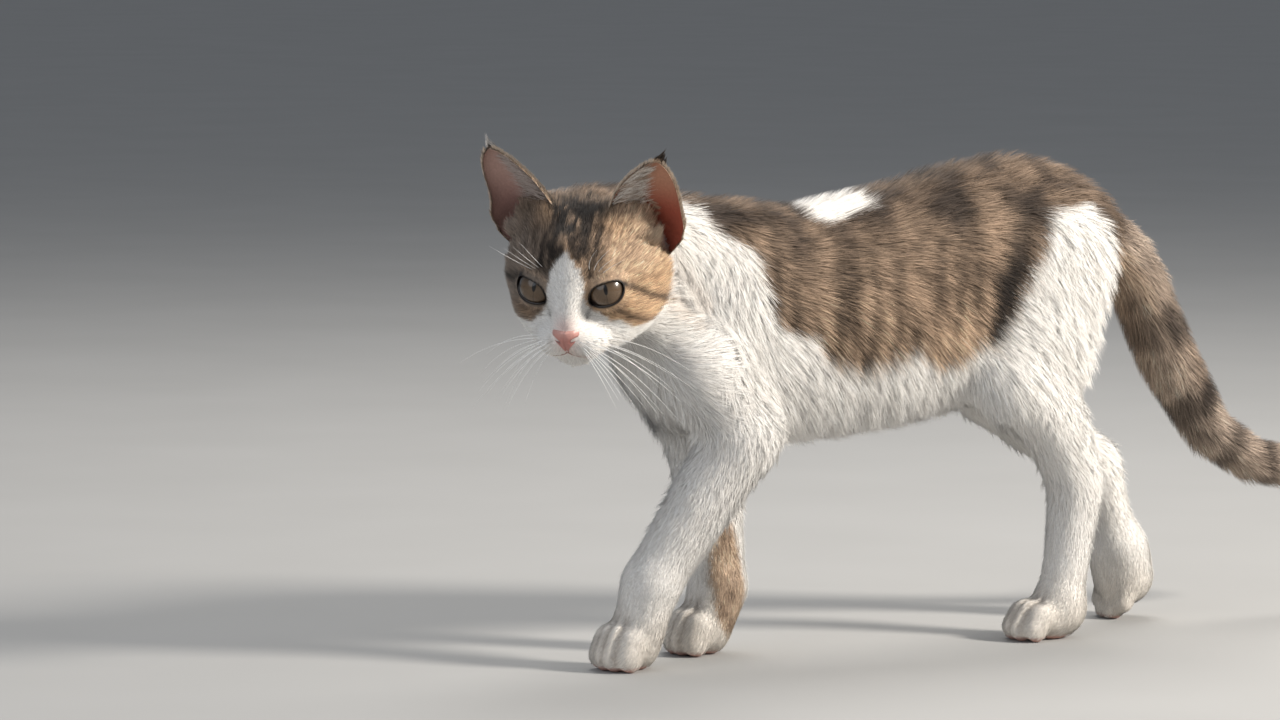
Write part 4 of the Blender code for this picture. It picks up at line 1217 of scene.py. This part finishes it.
def tube(mesh, line, radii, sides=8, closed=False, flat=1.0, over=None):
    """A tube of faces along a line of points in metres, added to the mesh."""
    line = [Vector(p) for p in line]
    count = len(line)
    rings = []
    for k, p in enumerate(line):
        a = line[(k - 1) % count] if closed or k else line[0]
        b = line[(k + 1) % count] if closed or k < count - 1 else line[-1]
        ahead = (b - a).normalized()
        up = (over[k] if over is not None else Vector((0.1, 0.2, 1))).normalized()
        side = ahead.cross(up).normalized()
        up = side.cross(ahead).normalized()
        r = radii[k]
        rings.append([mesh.verts.new(p + side * math.cos(s) * r + up * math.sin(s) * r * flat)
                      for s in np.linspace(0, 2 * math.pi, sides, endpoint=False)])
    for k in range(count if closed else count - 1):
        here, there = rings[k], rings[(k + 1) % count]
        for s in range(sides):
            n = (s + 1) % sides
            mesh.faces.new((here[s], here[n], there[n], there[s]))
    if not closed:
        mesh.faces.new(rings[0])
        mesh.faces.new(reversed(rings[-1]))


for word in EYES:
    mesh = bmesh.new()
    ring, over = [], []
    turn = EYES[word].to_3x3()
    for x, y in almond(word, 72, 1.01):
        z = math.sqrt(max((EYE_RADIUS + 0.4) ** 2 - x * x - y * y, 1.0))
        ring.append(EYES[word] @ (Vector((x, y, z)) * MM))
        over.append(turn @ Vector((x, y, z)))
    radii = [(0.27 + 0.25 * min(max((2.5 - y) / 5, 0), 1)) * MM for _, y in almond(word, 72, 1.01)]
    tube(mesh, ring, radii, sides=12, closed=True, flat=0.85, over=over)
    bmesh.ops.recalc_face_normals(mesh, faces=mesh.faces[:])
    rim = new_object("lid_rim_" + word, mesh)
    dress(rim, material)
    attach(rim, "root")


# The nose leather is a small bare wedge of pebbled pink skin, with a comma of a nostril on each
# side and a groove down its middle.
def on_face(x, z, out=0.0):
    """The point of the head's skin straight behind (x, z) as the head faces it."""
    start = Vector(from_head((x, -80, z))) * MM
    ahead = Vector(HEAD_TURN @ np.array((0, 1, 0)))
    hit = skin_surface.ray_cast(start, ahead)[0]
    if hit is None:
        return None
    return hit / MM - ahead * out


def nostril(x, z, side):
    """How deep a place of the nose lies in the nostril of that side, from 0 to 1."""
    dx = side * x - 4.3
    dz = z + 18.0 - 0.45 * dx
    return np.exp(-((dx / 1.6) ** 2 + (dz / 0.85) ** 2))


NOSE_ROWS = ((-12.6, 3.8), (-13.2, 5.6), (-14.2, 6.9), (-15.4, 7.4), (-16.8, 7.2), (-18.2, 6.3),
             (-19.6, 5.0), (-21.0, 3.7), (-22.4, 2.5), (-24.0, 1.4), (-26.0, 0.9))
mesh = bmesh.new()
grid_rows = []
fine_rows = np.linspace(0, len(NOSE_ROWS) - 1, 44)
for place in fine_rows:
    z = np.interp(place, range(len(NOSE_ROWS)), [r[0] for r in NOSE_ROWS])
    half = np.interp(place, range(len(NOSE_ROWS)), [r[1] for r in NOSE_ROWS])
    row = []
    for t in np.linspace(-1, 1, 33):
        x = half * t
        edge = min(1 - abs(t), place / 5, (len(NOSE_ROWS) - 1 - place) / 3)
        rise = -0.5 + 1.5 * min(1.0, edge * 3.2) ** 0.6
        rise -= 0.55 * math.exp(-((x / 0.45) ** 2)) * (1 if z < -15.5 else 0.4)
        rise -= 2.0 * (nostril(x, z, 1) + nostril(x, z, -1))
        lift_top = 0.9 * math.exp(-(((z + 12.6) / 1.8) ** 2)) * (abs(t) ** 2)
        row.append(mesh.verts.new(Vector(on_face(x, z - 0.5 * lift_top, rise)) * MM))
    grid_rows.append(row)
for upper, lower in zip(grid_rows[:-1], grid_rows[1:]):
    for k in range(32):
        mesh.faces.new((upper[k], upper[k + 1], lower[k + 1], lower[k]))
bmesh.ops.recalc_face_normals(mesh, faces=mesh.faces[:])
ahead = Vector(HEAD_TURN @ np.array((0, -1, 0)))
mesh.normal_update()
if sum(f.normal.dot(ahead) for f in mesh.faces) < 0:
    bmesh.ops.reverse_faces(mesh, faces=mesh.faces[:])
nose = new_object("nose_leather", mesh)
wall = nose.modifiers.new("wall", "SOLIDIFY")
wall.thickness = 1.2 * MM
wall.offset = -1
apply_all(nose)
nose_h = in_head(places(nose.data))
# painted shade: the dented nostrils are painted near black, for the shade inside their openings
nostril_shade = np.maximum(*(nostril(nose_h[:, 0], nose_h[:, 2], side) for side in (1, -1)))
nose_colour = mix(np.array((0.47, 0.20, 0.17)), np.array((0.62, 0.34, 0.29)), step(nose_h[:, 2], -18, -12))
nose_colour = mix(nose_colour, np.array((0.045, 0.012, 0.010)), np.clip(1.6 * nostril_shade, 0, 1))
paint(nose.data, nose_colour)
material, nodes, links, shader = new_material("nose_leather", 0.36, 0.5)
pebble = pattern(nodes, links, "Voronoi", 2300).outputs["Distance"]
varied = blend_colour(nodes, links, 0.22, stored(nodes, "Coat").outputs["Color"], pebble, "MULTIPLY")
links.new(varied, shader.inputs["Base Color"])
make_bumpy(nodes, links, shader, pebble, 0.35, 0.00015)
dress(nose, material)
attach(nose, "root")

# The lips close in a line that drops from the nose and parts to both sides under the whisker pads.
mesh = bmesh.new()
for side in (1, -1):
    lip = [(side * x, z) for x, z in ((0.0, -25.4), (0.6, -26.8), (3, -28.4), (6, -29.3), (9, -29.4),
                                      (11.5, -28.7))]
    line = [Vector(on_face(x, z, 0.15)) * MM for x, z in lip]
    tube(mesh, line, [0.5 * MM * (1 - 0.13 * k) for k in range(len(line))], sides=8)
bmesh.ops.recalc_face_normals(mesh, faces=mesh.faces[:])
lips = new_object("lips", mesh)
soften = lips.modifiers.new("soften", "SUBSURF")
soften.levels = soften.render_levels = 1
apply_all(lips)
material, nodes, links, shader = new_material("lip_skin", 0.45, 0.4)
wet = pattern(nodes, links, "Noise", 600).outputs["Fac"]
links.new(blend_colour(nodes, links, wet, (0.20, 0.085, 0.065), (0.42, 0.22, 0.17)),
          shader.inputs["Base Color"])
dress(lips, material)
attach(lips, "root")


# Whiskers and brow hairs are long white bristles. Four rows grow from each whisker pad and droop,
# and a few stand over each eye.
def bristle(root, way, length, droop, thick, count=12):
    """Points and widths of one bristle in the head's frame."""
    way = unit(np.array(way, float))
    t = np.linspace(0, 1, count)
    reach, sag = (length * t)[:, None], (length * t**2)[:, None]
    line = np.array(root, float) + way * reach + np.array(droop, float) * sag
    return [Vector(from_head(p)) * MM for p in line], list(thick * MM * (1 - 0.85 * t))


mesh = bmesh.new()
for side in (1, -1):
    for row in range(4):
        for k in range(4):
            x = side * (7.0 + 2.6 * k + 0.5 * row)
            z = -19.6 - 2.1 * row - 0.25 * k
            spot = on_face(x, z, -0.6)
            root = in_head(np.array(spot)[None])[0]
            out = 0.85 + 0.12 * k
            way = (side * out, -0.55 + 0.30 * k, -0.10 - 0.22 * row + dice.normal(0, 0.06))
            length = (30, 40, 46, 40)[k] * dice.uniform(0.85, 1.1) * (1.0, 1.05, 0.95, 0.72)[row]
            droop = (0, 0.10, -0.42 - 0.05 * row + dice.normal(0, 0.05))
            line, radii = bristle(root, way, length, droop, 0.20)
            tube(mesh, line, radii, sides=6)
    for k in range(4):
        spot = on_face(side * (12 + 2.0 * k), 13.5 - 0.8 * k, -0.4)
        root = in_head(np.array(spot)[None])[0]
        way = (side * (0.15 + 0.22 * k), -0.75, 1.0)
        line, radii = bristle(root, way, dice.uniform(17, 26), (side * 0.2, 0.35, -0.1), 0.14)
        tube(mesh, line, radii, sides=6)
bmesh.ops.recalc_face_normals(mesh, faces=mesh.faces[:])
whiskers = new_object("whiskers", mesh)
material, nodes, links, shader = new_material("whisker", 0.35, 0.5)
pale = pattern(nodes, links, "Noise", 120).outputs["Fac"]
links.new(blend_colour(nodes, links, pale, (0.86, 0.84, 0.80), (0.95, 0.94, 0.92)),
          shader.inputs["Base Color"])
dress(whiskers, material)
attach(whiskers, "root")


# Fine pale hairs fan across the opening of each ear from its inner edge, a fringe edges the rim,
# and a small pencil of hair stands on the tip.
for word in EARS:
    side, ear_root = EARS[word][0], np.array(EARS[word][1], float)
    count = 1300
    s = dice.uniform(-0.10, 0.80, count)
    t = -dice.uniform(0.45, 1.0, count)
    spot, up, across, face = ear_place(word, s, t, np.ones(count))
    way = across * dice.uniform(0.35, 0.95, count)[:, None] + up * dice.uniform(0.45, 1.0, count)[:, None]
    way = unit(way + face * dice.uniform(0.02, 0.40, count)[:, None])
    length = dice.uniform(9, 19, count) * (1 - 0.62 * np.maximum(s, 0))
    pale, tan = (0.82, 0.74, 0.66), (0.42, 0.28, 0.19)
    # painted shade: the right ear's hairs are painted greyer and darker than the left ear's
    if side < 0:
        pale, tan = (0.50, 0.42, 0.38), (0.30, 0.22, 0.19)
    shade = np.where((dice.random(count) < 0.75)[:, None], np.array(pale), np.array(tan))

    fringe_count = 1500
    t2 = dice.uniform(-1.0, 0.35, fringe_count)
    before = dice.uniform(0.5, 6.0, fringe_count)
    spot2 = ear_root + across * (16.5 * t2)[:, None] + face * before[:, None]
    spot2 = spot2 - up * (1.5 + 0.5 * before)[:, None]
    spot2 = in_head(settle(from_head(spot2), np.full(fringe_count, -0.2)))
    way2 = up + across * (0.25 + 0.15 * t2)[:, None]
    way2 = way2 + face * dice.uniform(-0.1, 0.35, fringe_count)[:, None]
    way2 = unit(way2 + dice.normal(0, 0.12, (fringe_count, 3)))
    length2 = dice.uniform(4, 8.5, fringe_count) * np.clip(1.25 - 0.25 * np.abs(t2), 0.6, 1.2)
    shade2 = markings_and_shade(from_head(spot2), np.full(fringe_count, "head"))[0]
    # painted shade: the right ear's fringe is painted darker than the left ear's
    pale2 = mix(shade2, np.array((0.62, 0.48, 0.35)) if side > 0 else np.array((0.36, 0.28, 0.23)),
                np.full(fringe_count, 0.75)) * dice.uniform(0.6, 1.3, (fringe_count, 1))

    edge_count = 1300
    s3 = dice.uniform(0.02, 0.99, edge_count)
    t3 = np.where(dice.random(edge_count) < 0.5, -1, 1) * dice.uniform(0.97, 1.0, edge_count)
    spot3 = ear_place(word, s3, t3, dice.uniform(0, 1, edge_count))[0]
    way3 = unit(up * 1.0 + across * (np.sign(t3) * 0.30)[:, None] + dice.normal(0, 0.10, (edge_count, 3)))

    tip_count = 150
    t4 = dice.uniform(-0.85, 0.85, tip_count)
    spot4 = ear_place(word, dice.uniform(0.92, 1.0, tip_count), t4, dice.uniform(0, 1, tip_count))[0]
    lean = 0.40 if side > 0 else 0.12
    way4 = unit(up + across * (lean - 0.34 * t4)[:, None] + dice.normal(0, 0.05, (tip_count, 3)))
    roots = np.vstack([spot, spot2, spot3, spot4])
    ways = np.vstack([way, way2, way3, way4])
    long = np.concatenate([length, length2, dice.uniform(1.4, 2.8, edge_count),
                           dice.uniform(3, 7.5, tip_count) * (1.1 - 0.5 * np.abs(t4))])
    wide = np.concatenate([np.full(count, 0.28), np.full(fringe_count, 0.34), np.full(edge_count, 0.36),
                           np.full(tip_count, 0.40)])
    tip_shade = (0.06, 0.045, 0.035) if side > 0 else (0.74, 0.68, 0.62)
    shades = np.vstack([shade, shade2, np.tile((0.66, 0.53, 0.41), (edge_count, 1)),
                        np.tile(tip_shade, (tip_count, 1))])
    n = len(roots)
    out = np.tile(face, (n, 1)) @ HEAD_TURN.T
    ways = ways @ HEAD_TURN.T
    out = unit(out - ways * (out * ways).sum(1)[:, None])
    uv = np.stack([np.arange(n) % 66, np.arange(n) // 66], 1) / 67.0
    tips = np.vstack([shade, pale2, shades[count + fringe_count:]])
    if side < 0:
        tips = np.where(np.arange(n)[:, None] >= n - 30, shades * 0.15, tips)
    grow("ear_hairs_" + word, from_head(roots), out, ways, long, wide, np.zeros(n), np.full(n, -6.0), shades,
         tips, uv)


# A plain pale floor and soft studio lamps stand in for the place.
bpy.ops.mesh.primitive_plane_add(size=60, location=(0, 0, -0.0002))
floor = bpy.context.object
floor.name = "floor"
floor.data.transform(Matrix.Translation(floor.location))
floor.location = (0, 0, 0)
material, nodes, links, shader = new_material("floor", 0.85, 0.2)
dust = pattern(nodes, links, "Noise", 6).outputs["Fac"]
links.new(blend_colour(nodes, links, dust, (0.36, 0.355, 0.345), (0.40, 0.395, 0.385)),
          shader.inputs["Base Color"])
floor.data.materials.append(material)


def lamp(name, place, aim, size, power, colour):
    data = bpy.data.lights.new(name, "AREA")
    data.shape = "DISK"
    data.size = size
    data.energy = power
    data.color = colour
    made = bpy.data.objects.new(name, data)
    bpy.context.scene.collection.objects.link(made)
    made.location = place
    made.rotation_euler = (Vector(place) - Vector(aim)).to_track_quat("Z", "Y").to_euler()


lamp("key", (1.58, 1.36, 1.28), (0, -0.05, 0.15), 0.5, 96, (1.0, 0.945, 0.87))
lamp("fill", (0.9, -2.4, 1.3), (0, -0.1, 0.15), 2.4, 25, (0.88, 0.93, 1.0))
lamp("top", (-0.9, 0.5, 2.0), (0, 0, 0.15), 1.4, 30, (1.0, 0.97, 0.93))
bpy.context.scene.view_settings.view_transform = "Standard"
world = bpy.data.worlds.new("studio")
bpy.context.scene.world = world
world.use_nodes = True
world.node_tree.nodes["Background"].inputs["Color"].default_value = (0.80, 0.86, 0.95, 1)
world.node_tree.nodes["Background"].inputs["Strength"].default_value = 0.32
